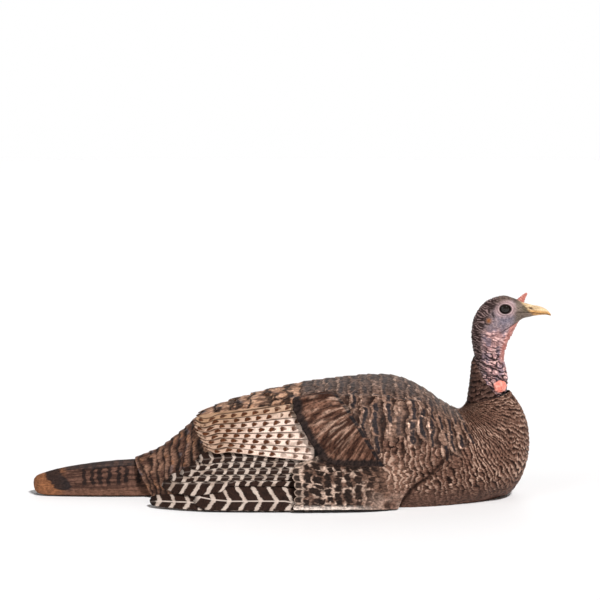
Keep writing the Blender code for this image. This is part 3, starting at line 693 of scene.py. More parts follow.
# ---- wings --------------------------------------------------------------------------------------------
class BodyMap:
    """Body coordinates t and v of the body surface nearest to points beside the bird's left flank."""

    def __init__(self):
        t, v = np.meshgrid(np.linspace(4, 18, 420), np.linspace(0.05, 1, 260), indexing="ij")
        self.t, self.v = t.ravel(), v.ravel()
        points = body_point(self.t, self.v)
        self.tree = KDTree(len(points))
        for k, p in enumerate(points.tolist()):
            self.tree.insert(p, k)
        self.tree.balance()

    def __call__(self, points):
        flat = points.reshape(-1, 3)
        t = np.zeros(len(flat))
        v = np.zeros(len(flat))
        for k, p in enumerate(flat.tolist()):
            found = self.tree.find_n(p, 4)
            weights = np.array([1 / (f[2] ** 2 + 0.05) for f in found])
            weights /= weights.sum()
            index = [f[1] for f in found]
            t[k] = weights @ self.t[index]
            v[k] = weights @ self.v[index]
        return t.reshape(points.shape[:2]), v.reshape(points.shape[:2])


class SideField:
    """Half width of the body at any x and height, read from a grid of probes."""

    STEP = 3.0
    X0, X1, Z1 = -216.0, 246.0, 180.0

    def __init__(self):
        points = body_point(*grid(np.linspace(0, 18, 300), np.linspace(0, 1, 120)))
        index = np.arange(points.shape[0] * points.shape[1]).reshape(points.shape[:2])
        tree = BVHTree.FromPolygons(points.reshape(-1, 3).tolist(), grid_quads(index))
        xs = np.arange(self.X0, self.X1, self.STEP)
        zs = np.arange(0, self.Z1, self.STEP)
        table = np.zeros((len(xs), len(zs)))
        for a, x in enumerate(xs):
            for b, z in enumerate(zs):
                hit = tree.ray_cast(Vector((x, 400, max(z, 0.3))), Vector((0, -1, 0)))[0]
                table[a, b] = hit.y if hit is not None else 0.0
        self.table = table

    def __call__(self, x, z):
        a = np.clip((x - self.X0) / self.STEP, 0, self.table.shape[0] - 1.001)
        b = np.clip(z / self.STEP, 0, self.table.shape[1] - 1.001)
        i, j = a.astype(int), b.astype(int)
        f, g = a - i, b - j
        low = self.table[i, j] * (1 - f) + self.table[i + 1, j] * f
        high = self.table[i, j + 1] * (1 - f) + self.table[i + 1, j + 1] * f
        return low * (1 - g) + high * g


BODY_SIDE = SideField()
BODY_MAP = BodyMap()


def wing_reference(x, z):
    y_top, z_top, y_low = at_x(WING, x)
    s = np.clip(1 - z / z_top, 0, None)
    tent = y_top + (y_low - y_top) * s ** WING_BULGE - WING_FALL * np.maximum(0.0, z - z_top)
    body = BODY_SIDE(x, z) + WING_CLEAR
    soft = 5.0
    return np.stack([x, 0.5 * (tent + body + np.sqrt((tent - body) ** 2 + soft * soft)), z], -1)


def wing_point(x, z, lift, side):
    d = 3.0
    ahead = wing_reference(x + d, z) - wing_reference(x - d, z)
    up = wing_reference(x, z + d) - wing_reference(x, np.maximum(z - d, 0.2))
    n = np.cross(up, ahead)
    n = n / np.linalg.norm(n, axis=-1, keepdims=True)
    n = n * np.where(n[..., 1:2] < 0, -1, 1)
    p = wing_reference(x, z) + n * np.asarray(lift)[..., None]
    p[..., 2] = np.maximum(p[..., 2], 0.8)
    p[..., 1] *= side
    return p


def panel_lift(x, z):
    down = np.maximum(ramp(x, 92, 152), 0.75 * ramp(x, 50, 70) * ramp(z, 128, 144))
    return PANEL_LIFT + (0.4 - PANEL_LIFT) * down


# What shows of each primary, by x: height of its lower edge and of its shaft. The first two are whole below.
PRIMARY_LOW = {
    2: ([-187, -140, -125, -100, -88, 0], [19, 17, 20, 25, 33.5, 34]),
    3: ([-177, -160, -140, -85, 0], [33, 33, 37, 41, 42]),
    4: ([-160, -145, -125, 0], [41, 41, 47, 51]),
    5: ([-146, -130, -110, 0], [50, 50, 56, 60]),
    6: ([-136, -120, -100, 0], [59, 59, 64, 69]),
}
PRIMARY_SHAFT = {
    0: ([-203, -187, -150, -124, -104, -82, -60], [5, 7.5, 10, 10.3, 7, 2, -3]),
    1: ([-140, -130, -108, -86, -45, -10, 4, 20], [18, 17.6, 14.5, 13, 13.8, 13.9, 11, 6]),
    2: ([-187, -160, -125, -85, -75, -60], [28, 32, 35.7, 38, 43, 50]),
    3: ([-177, -140, 0], [36, 43, 47]),
    4: ([-160, -130, 0], [45, 52, 56]),
    5: ([-146, -115, 0], [54, 61, 65]),
    6: ([-136, -105, 0], [64, 69, 75]),
}
BAR_STRETCH = (1.0, 0.95, 1.12, 1.3, 1.35, 1.35, 1.35)


def flight_feather(kind, order, word, slot):
    """One flight feather: a ragged vane with a raised shaft, and the layers that its bars or drops need."""
    side = SIDES[word]
    spots = kind == "secondary"
    group = SECONDARY if spots else PRIMARY
    tip_x, half, root_x = (group[key][order] for key in ("tip_x", "half", "root_x"))
    x_root, x_tip = group["span"]
    root, root_step, tip, tip_step = group["line"]
    share, across = grid(np.linspace(0, 1, 130) ** 0.85, np.linspace(-1, 1, 23))
    x = root_x + (tip_x - root_x) * share
    f = (x_root - x) / (x_root - x_tip)
    first = root + (tip - root) * f
    step = root_step + (tip_step - root_step) * f
    centre = first + order * step
    rounding = np.sqrt(np.clip(1 - share ** 9, 0, 1))
    upper = half * (0.62 + 0.38 * np.minimum(1, share * 2.5)) * rounding + 0.25
    if spots:
        blend = ramp(x, tip_x + 10, tip_x + 34)
        lower = (upper * (1 - blend) + 1.0 * blend) * rounding
    elif order in PRIMARY_LOW:
        lower = np.clip(centre - np.interp(x, *PRIMARY_LOW[order]), -20, 19) * rounding
    else:
        lower = upper
    ragged = 1 + 0.10 * (cloud(plane(x, across * 3, order), 5.0) - 0.5)
    low_edge = centre - lower
    z = np.maximum(low_edge + (across + 1) / 2 * (centre + upper - low_edge) * (0.5 + 0.5 * ragged), 1.0)
    off = z - (centre + 0.55 * upper if spots else np.interp(x, *PRIMARY_SHAFT[order]))
    quill = 0.5 * bump(off, 0, 1.0) * ramp(share, 1.0, 0.8) * (0.2 if spots else 1.0)
    wave = 0.9 * (cloud(plane(x, z, order * 7), (30, 11, 9)) - 0.5)
    lift = group["lift"] + PITCH * (order - (z - first) / step) + quill + wave
    here = plane(x, z, order)
    if spots:
        from_edge = (z - low_edge) / np.maximum(step, 1)
        ground = painted(
            (238, 212, 196),
            ((168, 130, 102), ramp(x, -30, -110) * 0.75),
            ((172, 132, 98), ramp(order / 7.0, 0.7, 1.0) * 0.75),
            ((120, 88, 66), ramp(cloud(here, (14, 4, 1)), 0.58, 0.88) * 0.5))
        marks = {"edge_shade": 0.85 * ramp(from_edge, 0.92, 1.02) * ramp(from_edge, 1.3, 1.2)
                 + 0.5 * ramp(from_edge, 0.10, 0.0),
                 "ink": (0.72 + 0.28 * ramp(x, 30, -60)) * ramp(cloud(plane(x, z, 3 * order), 9.0), 0.1, 0.3),
                 "drop_off": (z - (low_edge + 0.52 * step)) / (0.28 * step + 0.4),
                 "from_tip": x - tip_x, "quill": 0.12}
        number = order * 1.37
    else:
        whole = order < 2       # nothing lies over the two lowest
        dark_tip = ramp(x - tip_x, 11, 8) if order == 0 else ramp(x - tip_x, 9, 3) * 0.8
        ground = over((194, 176, 163), (142, 119, 103),
                      ramp(cloud(here, (12, 5, 1)), 0.45, 0.8) * (0.35 if whole else 0.7))
        above = np.interp(x, *PRIMARY_LOW.get(order + 1, ([0], [999])))
        above = np.where(x < group["tip_x"][min(order + 1, 6)] + 6, 999, above)
        ink = 1.0 if whole else 0.95 * ramp(above - z, 0.0, 2.2)
        # edge_shade here is painted shade along the vane's edges, together with the feather's own dark tip.
        marks = {"edge_shade": np.maximum(0.6 * ramp(np.abs(across), 0.95, 1.0), 0.85 * dark_tip),
                 "ink": ink + 0.22 * (cloud(here, (11, 5, 1)) - 0.5), "drop_off": 0.0,
                 "from_tip": (x - tip_x) * BAR_STRETCH[order], "quill": 0.85 if whole else 0.15}
        number = order * 1.03
    layers = {"tint": ground, "off_shaft": off, "feather_number": number + (0.5 if side > 0 else 0), **marks}
    node = f"{kind}_{order + 1}_{word}"
    sheet(node + "_vane", wing_point(x, z, lift, side), layers, slot, "body", node, wall=0.6, offset=0.0,
          flip=0 if side > 0 else None)


# By height: x of the panel's rear edge and of the fan's front and rear edges. By x: height of the barred
# coverts' top and of the dark links under the fan.
REAR_EDGE = ([0, 18, 34, 42, 50, 58, 64, 70, 75, 81, 88, 102, 113, 126, 135, 142],
             [3, 5, 5, 3, 1, 3, 12, 31, 38, 34, 28, 18, 11, 4, 2, 4])
FAN_RIGHT = ([61, 63, 84, 104, 124, 135, 148, 162], [134, 131, 117, 103, 88, 81, 70, 58])
FAN_LEFT = ([58, 61, 65, 70, 75, 81, 88, 102, 113, 126, 150], [78, 66, 56, 46, 38, 33, 27, 17, 10, 3, -2])
BARRED_TOP = ([0, 60, 100, 140, 165], [70, 70, 66, 60, 40])
UNDER_FAN = ([-3, 39, 82, 124, 140], [78, 67, 61, 56, 54])
FAN_LOW = 62.0
FAN_PIVOT = (150.0, 160.0)


def covert_coat(x, z, inward, scallop, ground):
    """Dark blocks on paler ground below the fan: their paint and relief. Inward counts from the rear edge."""
    here = plane(x, z)
    wander = cloud(here, 22) - 0.5
    col = z / 9.8 + 0.8 * wander + x * 0.004
    i, j, p, q = shingles((230 - x) / 14.5 + 0.7 * wander, col, 0.6, 0.3, 0.45, 7.0)
    speck = cloud(here, (2.4, 2.4, 1), 8.0)
    rough = 0.25 * (speck - 0.5)
    block = ramp(p + rough, 0.06, 0.26) * ramp(p + rough, 0.96, 0.76) * ramp(np.abs(q) + rough, 0.98, 0.74)
    block = block * ramp(0.5 * speck + 0.6 * chance(i, j, 2.0) + 0.4 * ground, 0.12, 0.36)
    black = over((36, 24, 19), (62, 44, 36), ramp(x, 70, 150) * 0.8)
    inward = inward + 1.6 * (speck - 0.5)
    column = ramp(inward, 10.5, 8.8) * ramp(inward, 0.8, 2.2) * ramp(scallop, 0.88, 0.66)
    link = ramp(z - np.interp(x, *UNDER_FAN), -3.5, 0.5) * ramp(zigzag(x / 12.5 + 0.3 * speck), 0.92, 0.7)
    coat = painted(
        (98, 73, 61),
        ((190, 163, 146), ramp(0.5 * speck + 0.7 * ground, 0.42, 0.98)),
        ((108, 80, 66), ramp(x, 70, 135) * 0.85),
        (black, block),
        ((176, 152, 136), ramp(inward, 13, 11) * 0.7),
        (black, column * ramp(z, 66, 56) * ramp(z, 3, 8) * 0.95),
        ((38, 28, 25), link * 0.92),
        ((222, 204, 192), ramp(z, 8, 2) * ramp(x, 130, 60) * 0.9))
    return coat, scale_height(p, q)


def fan_coat(x, z, reach, turn, fan_x, fan_left):
    """The ribbed fan over the wing: its paint, crest and relief. Reach and turn count from FAN_PIVOT."""
    groove = zigzag(turn / 5.2)
    streak = cloud(plane(reach, turn * 0.7), (26, 1.5, 1))
    fine = cloud(plane(reach, turn * 1.15), (15, 1.4, 1), 5.0)
    sheen = bump(turn, 24, 20) * ramp(reach, 165, 70)
    rim = np.minimum((x - fan_left) * 0.85, (z - FAN_LOW) * 1.25) + 3.0 * (fine - 0.5)
    chain = ramp(fan_x - x, 7.5, 5.5) * ramp(fan_x - x, -0.5, 1.0) * ramp(zigzag(z / 14), 0.92, 0.76)
    # Painted sheen in the middle of the fan, and painted shade in the grooves between its ribs.
    coat = painted(
        (58, 35, 26),
        ((112, 79, 64), ramp(0.6 * streak + 0.4 * fine, 0.3, 0.7)),
        ((190, 156, 136), sheen * ramp(fine, 0.42, 0.75) * 0.75),
        (PAINTED_SHADE_BROWN, ramp(groove, 0.16, 0.0) * 0.65),
        ((34, 27, 26), ramp(rim, 15, 9.5) * 0.93),
        ((30, 27, 29), chain * 0.92))
    return coat, (0.35 + 0.5 * sheen) * fine * ramp(rim, 8, 16), ramp(groove, 0.0, 0.35) + 0.5 * streak + 0.6


def wing_panel_skin(word):
    """The wing's cover: body feathers in front, the fan over it and barred coverts below."""
    side = SIDES[word]
    row, frac = grid(np.linspace(0, 9, 210), np.linspace(0, 1, 220))
    height, front = along(PANEL_FRONT, row)
    scallop = zigzag(height / 9.5)
    rounded = 1 - np.sqrt(np.clip(1 - scallop ** 2, 0, 1))
    teeth = np.where(height < 60, 5.5 * (rounded - 0.4), 1.6 * (zigzag(height / 11.0) - 0.5))
    rear = np.interp(height, *REAR_EDGE) + teeth
    x = rear + (front - rear) * frac
    z = height + 15 * np.clip(1 - ((x - 98) / 112) ** 2, 0, None) * (height / 142) ** 3
    lift = panel_lift(x, z)
    border = np.minimum(ramp((front - x) / (4 + 12 * ramp(height, 60, 90)), 0, 1), ramp(row, 9, 8.6))
    base = wing_point(x, z, lift, 1.0)

    fan_x, fan_left = np.interp(z, *FAN_RIGHT), np.interp(z, *FAN_LEFT)
    notch = ramp(x, fan_left, fan_left - 1.5) * ramp(z, 77, 74)
    in_fan = ramp(x, fan_x + 1.2, fan_x - 1.2) * ramp(z, FAN_LOW - 1.5, FAN_LOW + 1.5) * (1 - notch)
    barred_top = np.interp(x, *BARRED_TOP)
    barred = ramp(z, barred_top, barred_top - 3) * ramp(x + 0.2 * z, 158, 124)
    barred = np.where(in_fan > 0.5, 0, np.maximum(barred, notch))
    dx, dz = x - FAN_PIVOT[0], z - FAN_PIVOT[1]
    reach = np.hypot(dx, dz)
    turn = np.degrees(np.arctan2(-dz, -dx)) + 4.0 * np.sin(reach * 0.02)
    ground = cloud(plane(x, z), (12, 7, 1), 3.0)

    plumage, crest, relief = plume(base, *BODY_MAP(base))
    coverts, covert_relief = covert_coat(x, z, x - rear, scallop, ground)
    fan, fan_crest, fan_relief = fan_coat(x, z, reach, turn, fan_x, fan_left)
    coat = painted(
        plumage,
        (coverts, barred),
        ((178, 148, 132), ramp(z, 30, 6) * ramp(x, 96, 128) * ramp(ground, 0.1, 0.6) * 0.6),
        (fan, in_fan),
        # Painted shade just in front of the fan's front edge.
        (PAINTED_SHADE_BROWN, bump(x - fan_x, 2.2, 2.0) * ramp(z, 60, 70) * 0.55))
    crest = crest * (1 - barred) * (1 - in_fan) + in_fan * fan_crest
    relief = (relief * (1 - barred) + covert_relief * barred) * (1 - in_fan) + fan_relief * in_fan
    thick = 0.2 + (PANEL + relief) * border
    points = base + (wing_point(x, z, lift + 1.0, 1.0) - base) * thick[..., None]
    layers = coat_layers(coat, crest, (reach * in_fan + x * (1 - in_fan)) * 0.16,
                         turn * 0.8 * in_fan + z * 0.4 * (1 - in_fan))

    # One more column turns the rear edge in, and one more row closes the top edge down to the body.
    points = np.concatenate([wing_point(x[:, :1] + 0.2, z[:, :1], lift[:, :1], 1.0), points], axis=1)
    top_x = np.concatenate([x[-1:, :1] + 0.2, x[-1:]], axis=1)
    top_z = np.concatenate([z[-1:, :1], z[-1:]], axis=1)
    points = np.concatenate([points, wing_point(top_x, top_z, 0.3, 1.0)])
    points[..., 1] *= side
    node = f"wing_panel_{word}"
    sheet(node + "_skin", points, widen(layers, (0, 1), (1, 0)), "plumage", "body", node,
          flip=0 if side > 0 else None)
    lining = wing_point(x[::12, ::12], z[::12, ::12], lift[::12, ::12] - 0.1, side)
    sheet(node + "_lining", lining, lining_layers(lining), "plumage", "body", node)


# ---- tail ---------------------------------------------------------------------------------------------
def tail_point(t, v):
    x, top, low, deck, foot = along(TAIL, t)
    s = np.abs(v)
    f = s / 0.45
    g = np.clip((s - 0.45) / 0.55, 0, 1)
    y = np.where(s < 0.45, deck * f, deck + (foot - deck) * g ** 0.8)
    z = top - (top - low) * np.where(s < 0.45, 0.16 * f ** 2.2, 0.16 + 0.84 * g)
    return np.stack([x, np.sign(v) * y, z], -1)


TAIL_BARS = (-307, -294, -283, -270, -256, -245, -226)


def tail_skin():
    """The folded tail: a smoother deck above barred sides, a rusty tip with a dark patch before it."""
    t, v = grid(even_stations(tail_point, 0.6, 6, 230), np.linspace(-1, 1, 121))
    base = tail_point(t, v)
    x, y, z = np.moveaxis(base, -1, 0)
    s = np.abs(v)
    deck_edge = 0.40 - 0.10 * ramp(x, -290, -340)
    deck = ramp(s, deck_edge + 0.012, deck_edge - 0.012)
    streak = cloud(plane(x, v * 60), (26, 1.6, 1))
    grain = cloud(base, (9, 3, 3), 3.0)
    relief = 0.9 * deck * ramp(x, -372, -330) + 0.5 * streak + 0.5 * grain
    points = base + normals(base) * (relief - 0.4)[..., None]
    shade = over((66, 45, 37), (104, 74, 62), ramp(streak, 0.35, 0.8))
    shade = over(shade, (112, 78, 62), ramp(s, 0.8, 0.97) * 0.7)
    for bar_x in TAIL_BARS:
        bar = ramp(bump(x + 6 * (grain - 0.5), bar_x, 3.8), 0.35, 0.7)
        reach = 0.80 + 0.06 * chance(bar_x)
        shade = over(shade, (28, 20, 19), bar * ramp(s, reach, reach - 0.10) * 0.9)
    tip = ramp(x, -330, -352)
    patch = bump(x + 0.9 * (z - 22), -345, 15) * ramp(s, 0.93, 0.80)
    shade = painted(
        shade,
        (over((56, 45, 43), (84, 64, 56), ramp(streak, 0.4, 0.8)), deck),
        ((50, 44, 44), deck * ramp(zigzag(x / 13.0), 0.6, 0.4) * ramp(grain, 0.2, 0.5) * 0.7),
        ((126, 82, 56), tip),
        ((158, 104, 68), tip * ramp(streak, 0.5, 0.8) * 0.7),
        ((34, 30, 31), ramp(patch + 0.45 * (grain - 0.5) + 0.2 * (streak - 0.5), 0.28, 0.55) * 0.9),
        # Painted shade under the raised edge of the deck.
        ((30, 24, 24), bump(s, deck_edge + 0.02, 0.012) * ramp(x, -345, -325) * 0.9))
    nose = np.array([TAIL[0][0] - 1.4, 0, 17.0])
    close = np.linspace(0.0, 1.0, 9)[:-1, None, None] ** 0.6
    points = np.concatenate([nose + (points[:1] - nose) * close, points])
    layers = widen(coat_layers(shade, np.full(x.shape, 0.2), x * 0.15, v * 90), rows=(len(close), 0))
    sheet("tail_skin", points, layers, "tail_plumage", "body", "tail", wall=TAIL_WALL)


# ---- head and neck ------------------------------------------------------------------------------------
def head_point(t, v, grow=0.0):
    xt, zt, xb, zb, half = along(HEAD, t)
    a = v * math.pi
    reach = np.hypot(xb - xt, zb - zt)
    f = 0.5 - (0.5 + grow / reach) * np.cos(a)
    return np.stack([xt + (xb - xt) * f, (half + grow) * np.sin(a), zt + (zb - zt) * f], -1)


EYE = (311, 13.8, 276)
EYE_RADII = (8, 5.6, 7)
CARUNCLE = (304, 163)
LOBE = (287.0, 258.9)
EAR = (293, 267)
NOSTRIL = (350, 276.0)
MOUTH = ([322, 335, 347, 377, 382], [269.5, 271, 270.3, 266.6, 265.6])


def creases(points, size, seed, width=0.42):
    """0 in a net of creases and 1 between them."""
    return ramp(np.abs(2 * cloud(points, size, seed) - 1), 0.02, width)


def head_skin():
    """The bare head and neck: creased flesh, a wrinkled nape, eyelids, ear, beak and caruncle."""
    t, v = grid(even_stations(head_point, 0.5, 16, 430), np.linspace(-1, 1, 241))
    base = head_point(t, v)
    x, y, z = np.moveaxis(base, -1, 0)
    s = np.abs(v)
    side = np.stack([x, np.abs(y), z], -1)

    # Places: from_eye is 1 at the eye's rim, jaw is the height over the line of the jaw.
    from_eye = np.hypot((x - EYE[0]) / 8.2, (z - EYE[2]) / 6.5)
    from_eye = from_eye + 10 * (ramp(s, 0.95, 0.99) + ramp(s, 0.06, 0.02))
    from_lobe = np.hypot(x - LOBE[0], z - LOBE[1])
    beak = ramp(x, 341, 347)
    neck = ramp(z, 252, 238)
    nape = ramp(s, 0.44, 0.28) * ramp(x, 312, 292)
    mouth = z - np.interp(x, *MOUTH)
    mouth_line = ramp(x, 322, 328)
    jaw = z - (254.1 + (x - 326.7) * 0.552)
    jaw_line = ramp(x, 300, 308) * ramp(x, 334, 328)
    nostril = bump(x, NOSTRIL[0], 4.5) * bump(z + 0.25 * (x - NOSTRIL[0]), NOSTRIL[1], 1.2)
    ear = bump(x + 0.3 * (z - EAR[1]), EAR[0], 1.9) * bump(z, EAR[1], 4.6)
    lobe = bump(x, LOBE[0], 3.6) * bump(z, LOBE[1], 3.8)

    # Textures of the skin
    wave = cloud(side, (13, 9, 6), 1.0) - 0.5
    level = z + 0.28 * (x - 290) + 5 * wave
    fold = creases(np.stack([x * 0.28, np.abs(y) * 0.3, level], -1), 2.3, 5.0)
    fine = creases(np.stack([x * 0.45, np.abs(y) * 0.45, level + 2 * wave], -1), 1.35, 6.0)
    knob = cloud(side, 3.2, 9.0)
    pebble = cloud(side, 1.3, 12.0)
    wrinkle = creases(side * (0.7, 0.7, 1.0), 1.5, 15.0, 0.5)
    ridges = np.sin((z + 0.42 * (x - 270) + 7 * wave + 2.2 * (knob - 0.5)) * 2 * math.pi / 3.7)
    from_caruncle = ((x - CARUNCLE[0]) / 10) ** 2 + ((z - CARUNCLE[1]) / 9.2) ** 2
    dome = np.clip(1 - from_caruncle + 0.5 * (knob - 0.5), 0, 1)
    in_caruncle = ramp(dome, 0.0, 0.12) * ramp(s, 0.3, 0.45)

    face = 0.6 * (knob - 0.5) + 0.35 * (pebble - 0.5) + 0.4 * (wrinkle - 0.7) + 0.4 * ridges * nape
    relief = neck * (1.5 * fold + 0.6 * fine - 1.3 + 0.9 * (knob - 0.5)) + (1 - neck) * (1 - beak) * face
    relief = relief * (1 - in_caruncle) + in_caruncle * (3.4 * np.sqrt(dome) + 0.9 * (knob - 0.5))
    relief = relief + 1.1 * bump(from_eye, 1.26, 0.13) + 0.6 * bump(from_eye, 1.75, 0.16)
    relief = relief - 0.5 * bump(from_eye, 1.5, 0.09) - 4.5 * ramp(from_eye, 1.12, 0.92)
    relief = relief - 0.8 * bump(mouth, 0, 0.7) * mouth_line - 1.1 * nostril
    relief = relief - 1.8 * ear + 1.3 * lobe - 0.8 * bump(from_lobe, 6.0, 1.0)
    relief = relief - 1.2 * bump(jaw, -1.0, 1.6) * jaw_line
    points = base + normals(base) * relief[..., None]

    # A dark colour painted as shade in creases and grooves of the head and neck.
    painted_crease_shade = (38, 26, 28)
    cheek = bump(np.hypot((x - 314) / 1.7, z - 260), 0, 8)
    crown = ramp(s, 0.36, 0.22) * ramp(x, 342, 322) * (1 - neck)
    crown_coat = over((62, 46, 40), (112, 92, 80), ramp(0.5 * knob + 0.5 * pebble, 0.3, 0.65))
    cere_coat = over((126, 110, 98), (90, 78, 70), ramp(pebble, 0.5, 0.8))
    ridge_top = ramp(ridges, -0.1, 0.8) * ramp(cloud(side, (4.5, 4.5, 2.0), 16.0), 0.22, 0.5)
    nape_coat = over((50, 35, 34), (166, 138, 134), ridge_top * 0.72)
    # Share of painted shade in the neck's recessed creases, more of it lower down.
    shade_in_creases = np.clip((1 - fold) + 0.5 * (1 - fine), 0, 1) * (0.5 + 0.5 * ramp(z, 235, 205))
    flesh = painted(
        (184, 142, 142),
        ((216, 166, 160), ramp(knob, 0.35, 0.7)),
        ((146, 132, 148), ramp(cloud(side, 7, 2.0), 0.45, 0.65) * 0.7),
        # Painted highlight on the tops of the folds.
        ((248, 204, 198), ramp(fold * knob, 0.42, 0.7) * 0.8),
        (painted_crease_shade, shade_in_creases))
    throat = ramp(s, 0.70, 0.78) * ramp(jaw, 1.0, -1.5) * ramp(x, 345, 335) * ramp(z, 190, 210)
    rosy = painted(
        (186, 124, 114),
        ((150, 88, 80), ramp(cloud(side, (2.4, 2, 6), 4.0), 0.5, 0.75)),
        ((212, 156, 146), ramp(knob, 0.55, 0.8) * 0.6))
    salmon = over((226, 132, 116), (240, 164, 148), ramp(knob, 0.35, 0.75))
    # Painted shade round the base of the caruncle.
    rim_shade = bump(dome, 0.0, 0.05) * ramp(s, 0.3, 0.45)
    rim_shade = rim_shade * ramp(np.hypot(x - CARUNCLE[0], z - CARUNCLE[1]), 14, 10)
    horn = painted(
        (206, 156, 98),
        # Paler along the top of the beak: a painted highlight.
        ((226, 196, 154), ramp(mouth, 2.5, 6.0)),
        ((112, 76, 46), ramp(cloud(side, (9, 2, 1.0), 6.0), 0.5, 0.75) * ramp(x, 374, 350) * 0.85))
    skin = painted(
        (140, 124, 130),
        ((170, 148, 150), ramp(knob, 0.35, 0.7)),
        # Painted shade in the recessed wrinkles of the face, and in the groove round the eye ring.
        ((72, 58, 62), (1 - wrinkle) * 0.65),
        ((192, 162, 162), ramp(from_eye, 2.4, 1.7) * 0.8),
        ((206, 176, 174), ramp(from_eye, 1.5, 1.2) * 0.8),
        ((120, 92, 96), bump(from_eye, 1.5, 0.08) * 0.6),
        ((132, 126, 140), cheek * 0.6),
        ((54, 48, 58), ramp(cloud(side, 1.5, 3.0), 0.55, 0.72) * cheek * 0.8),
        (cere_coat, ramp(x, 320, 331)),
        ((84, 74, 56), ramp(x, 333, 340) * ramp(z, 268, 274) * 0.75),
        (crown_coat, crown * 0.92),
        (nape_coat, nape),
        (flesh, neck * ramp(s, 0.26, 0.44)),
        (rosy, throat * 0.92),
        (salmon, in_caruncle),
        # Painted shade round the caruncle's base, and in the groove under the jaw.
        (painted_crease_shade, rim_shade * 0.6),
        (painted_crease_shade, bump(jaw, -0.6, 1.0) * jaw_line * 0.8),
        ((140, 84, 40), lobe),
        # The ear hole is dark, and the ring round the lobe is painted shade in its groove.
        ((24, 18, 20), np.maximum(ear, 0.8 * bump(from_lobe, 6.2, 0.9) * ramp(x, 290, 284))),
        (horn, ramp(x + 0.9 * (z - 272), 344, 352)),
        ((58, 42, 34), np.maximum(nostril * 0.95, bump(mouth, 0, 0.8) * mouth_line * 0.7)),
        ((26, 18, 18), ramp(from_eye, 1.20, 1.06) * 0.95))
    layers = coat_layers(skin, 0.0, x * 0.6, z * 0.6)
    sheet("head_skin", points, layers, "head_skin", "head", "head_shell", ring=True, flip=1)


# The snood's middle line from the beak to its tip: x, z, radius.
SNOOD = [(333, 283, 6.0), (336, 287.5, 4.7), (339.5, 292.5, 3.1), (343.2, 297, 1.8), (344.6, 298.8, 0.25)]


def snood():
    """The fleshy horn over the beak, leaning forward, with soft rings."""
    u, a = grid(np.linspace(0, 1, 60), np.linspace(0, 2 * math.pi, 33))
    rings = np.sin(u * 46)
    cx, cz, radius = along(SNOOD, u * (len(SNOOD) - 1))
    radius = radius * (1 + 0.07 * rings) + 0.02
    ahead = radius * np.cos(a)
    points = np.stack([cx + ahead * 0.95, radius * np.sin(a) * 0.8, cz - ahead * 0.6], -1)
    tint = painted(
        (196, 120, 106),
        ((226, 160, 148), ramp(cloud(points, 1.8), 0.4, 0.8)),
        # Painted shade in the grooves between the rings.
        ((150, 88, 80), ramp(rings, 0.2, -0.8) * 0.5),
        ((120, 98, 88), ramp(u, 0.3, 0.05)))
    layers = coat_layers(tint, 0.0, u * 10, a * 2)
    sheet("snood", points, layers, "head_skin", "head", "head_shell", ring=True)


def eyes():
    u, a = grid(np.linspace(0.001, math.pi - 0.001, 40), np.linspace(0, 2 * math.pi, 49))
    for word, side in SIDES.items():
        ball = np.stack([np.sin(u) * np.cos(a), side * np.cos(u), np.sin(u) * np.sin(a) * side], -1)
        points = ball * EYE_RADII + np.array([EYE[0], side * EYE[1], EYE[2]])
        sheet(f"eye_{word}_ball", points, {}, "eye", "head", f"eye_{word}", ring=True, flip=1)


CAPE_OPEN, CAPE_FOOT, CAPE_TOP, CAPE = 0.64, 0.12, 4.05, 2.6


def neck_cape_skin():
    """Feathers up the back of the neck; their edge slants down from the nape to the front."""
    f, v = grid(np.linspace(-0.01, 1, 110), np.linspace(-1, 1, 150))
    top = CAPE_FOOT + (CAPE_TOP - CAPE_FOOT) * (1 - np.abs(v) ** 1.5)
    border = np.minimum(ramp(f, 1.0, 0.86), ramp(np.abs(v), 1.0, 0.93))
    base = head_point(np.clip(top * f, 0, 5), CAPE_OPEN * v, 0.5 + CAPE * border)
    x, y, z = np.moveaxis(base, -1, 0)
    warp = cloud(base, 20) - 0.5
    row = (215 - z + 0.3 * (x - 270)) / 6.6 + 0.8 * warp
    i, j, p, q = shingles(row, v * 9.5 + 0.5 * warp, tip=0.35, jitter=0.45, seed=4.0)
    points = base + normals(base) * (1.3 * scale_height(p, q) * border)[..., None]
    # Painted shade at each feather's base and along the cape's top edge, and paler tips as painted
    # highlights.
    coat = painted(
        (30, 16, 12),
        ((82, 58, 50), ramp(p, 0.0, 0.5)),
        ((122, 94, 84), ramp(p, 0.5, 0.95) * ramp(cloud(base, 2.4, 8.0), 0.35, 0.65) * 0.7),
        ((46, 36, 36), ramp(f, 0.9, 1.0) * 0.7))
    layers = coat_layers(coat, p * 0.5, z * 0.3, v * 60)
    sheet("neck_cape_skin", points, layers, "plumage", "head", "neck_cape", flip=1)


FITTINGS = ("base_", "tail_screw", "wing_screw", "stake_", "neck_socket", "neck_plug", "neck_bulkhead",
            "friction_", "spring_", "swivel_")


def fittings():
    """The plain moulded and turned pieces inside and underneath: their CAD shape with broken edges."""
    for name, node in sorted(frame["nodes"].items()):
        if not name.startswith(FITTINGS):
            continue
        corners = np.array([v.co for v in node.data.vertices])
        corners, joined = np.unique(np.round(corners, 6), axis=0, return_inverse=True)
        joined = joined.reshape(-1)
        faces = [joined[list(face.vertices)].tolist() for face in node.data.polygons]
        faces = [face for face in faces if len(set(face)) == len(face)]
        mesh = bpy.data.meshes.new(name + "_piece")
        mesh.from_pydata(corners.tolist(), [], faces)
        mesh.shade_smooth()
        mesh.set_sharp_from_angle(angle=math.radians(32))
        piece = dress(mesh, name + "_piece", node.data.materials[0].name, node["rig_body"], name)
        edge = piece.modifiers.new("edge", "BEVEL")
        edge.width = 0.25 * MM
        edge.segments = 2
        edge.limit_method = "ANGLE"
        edge.angle_limit = math.radians(40)


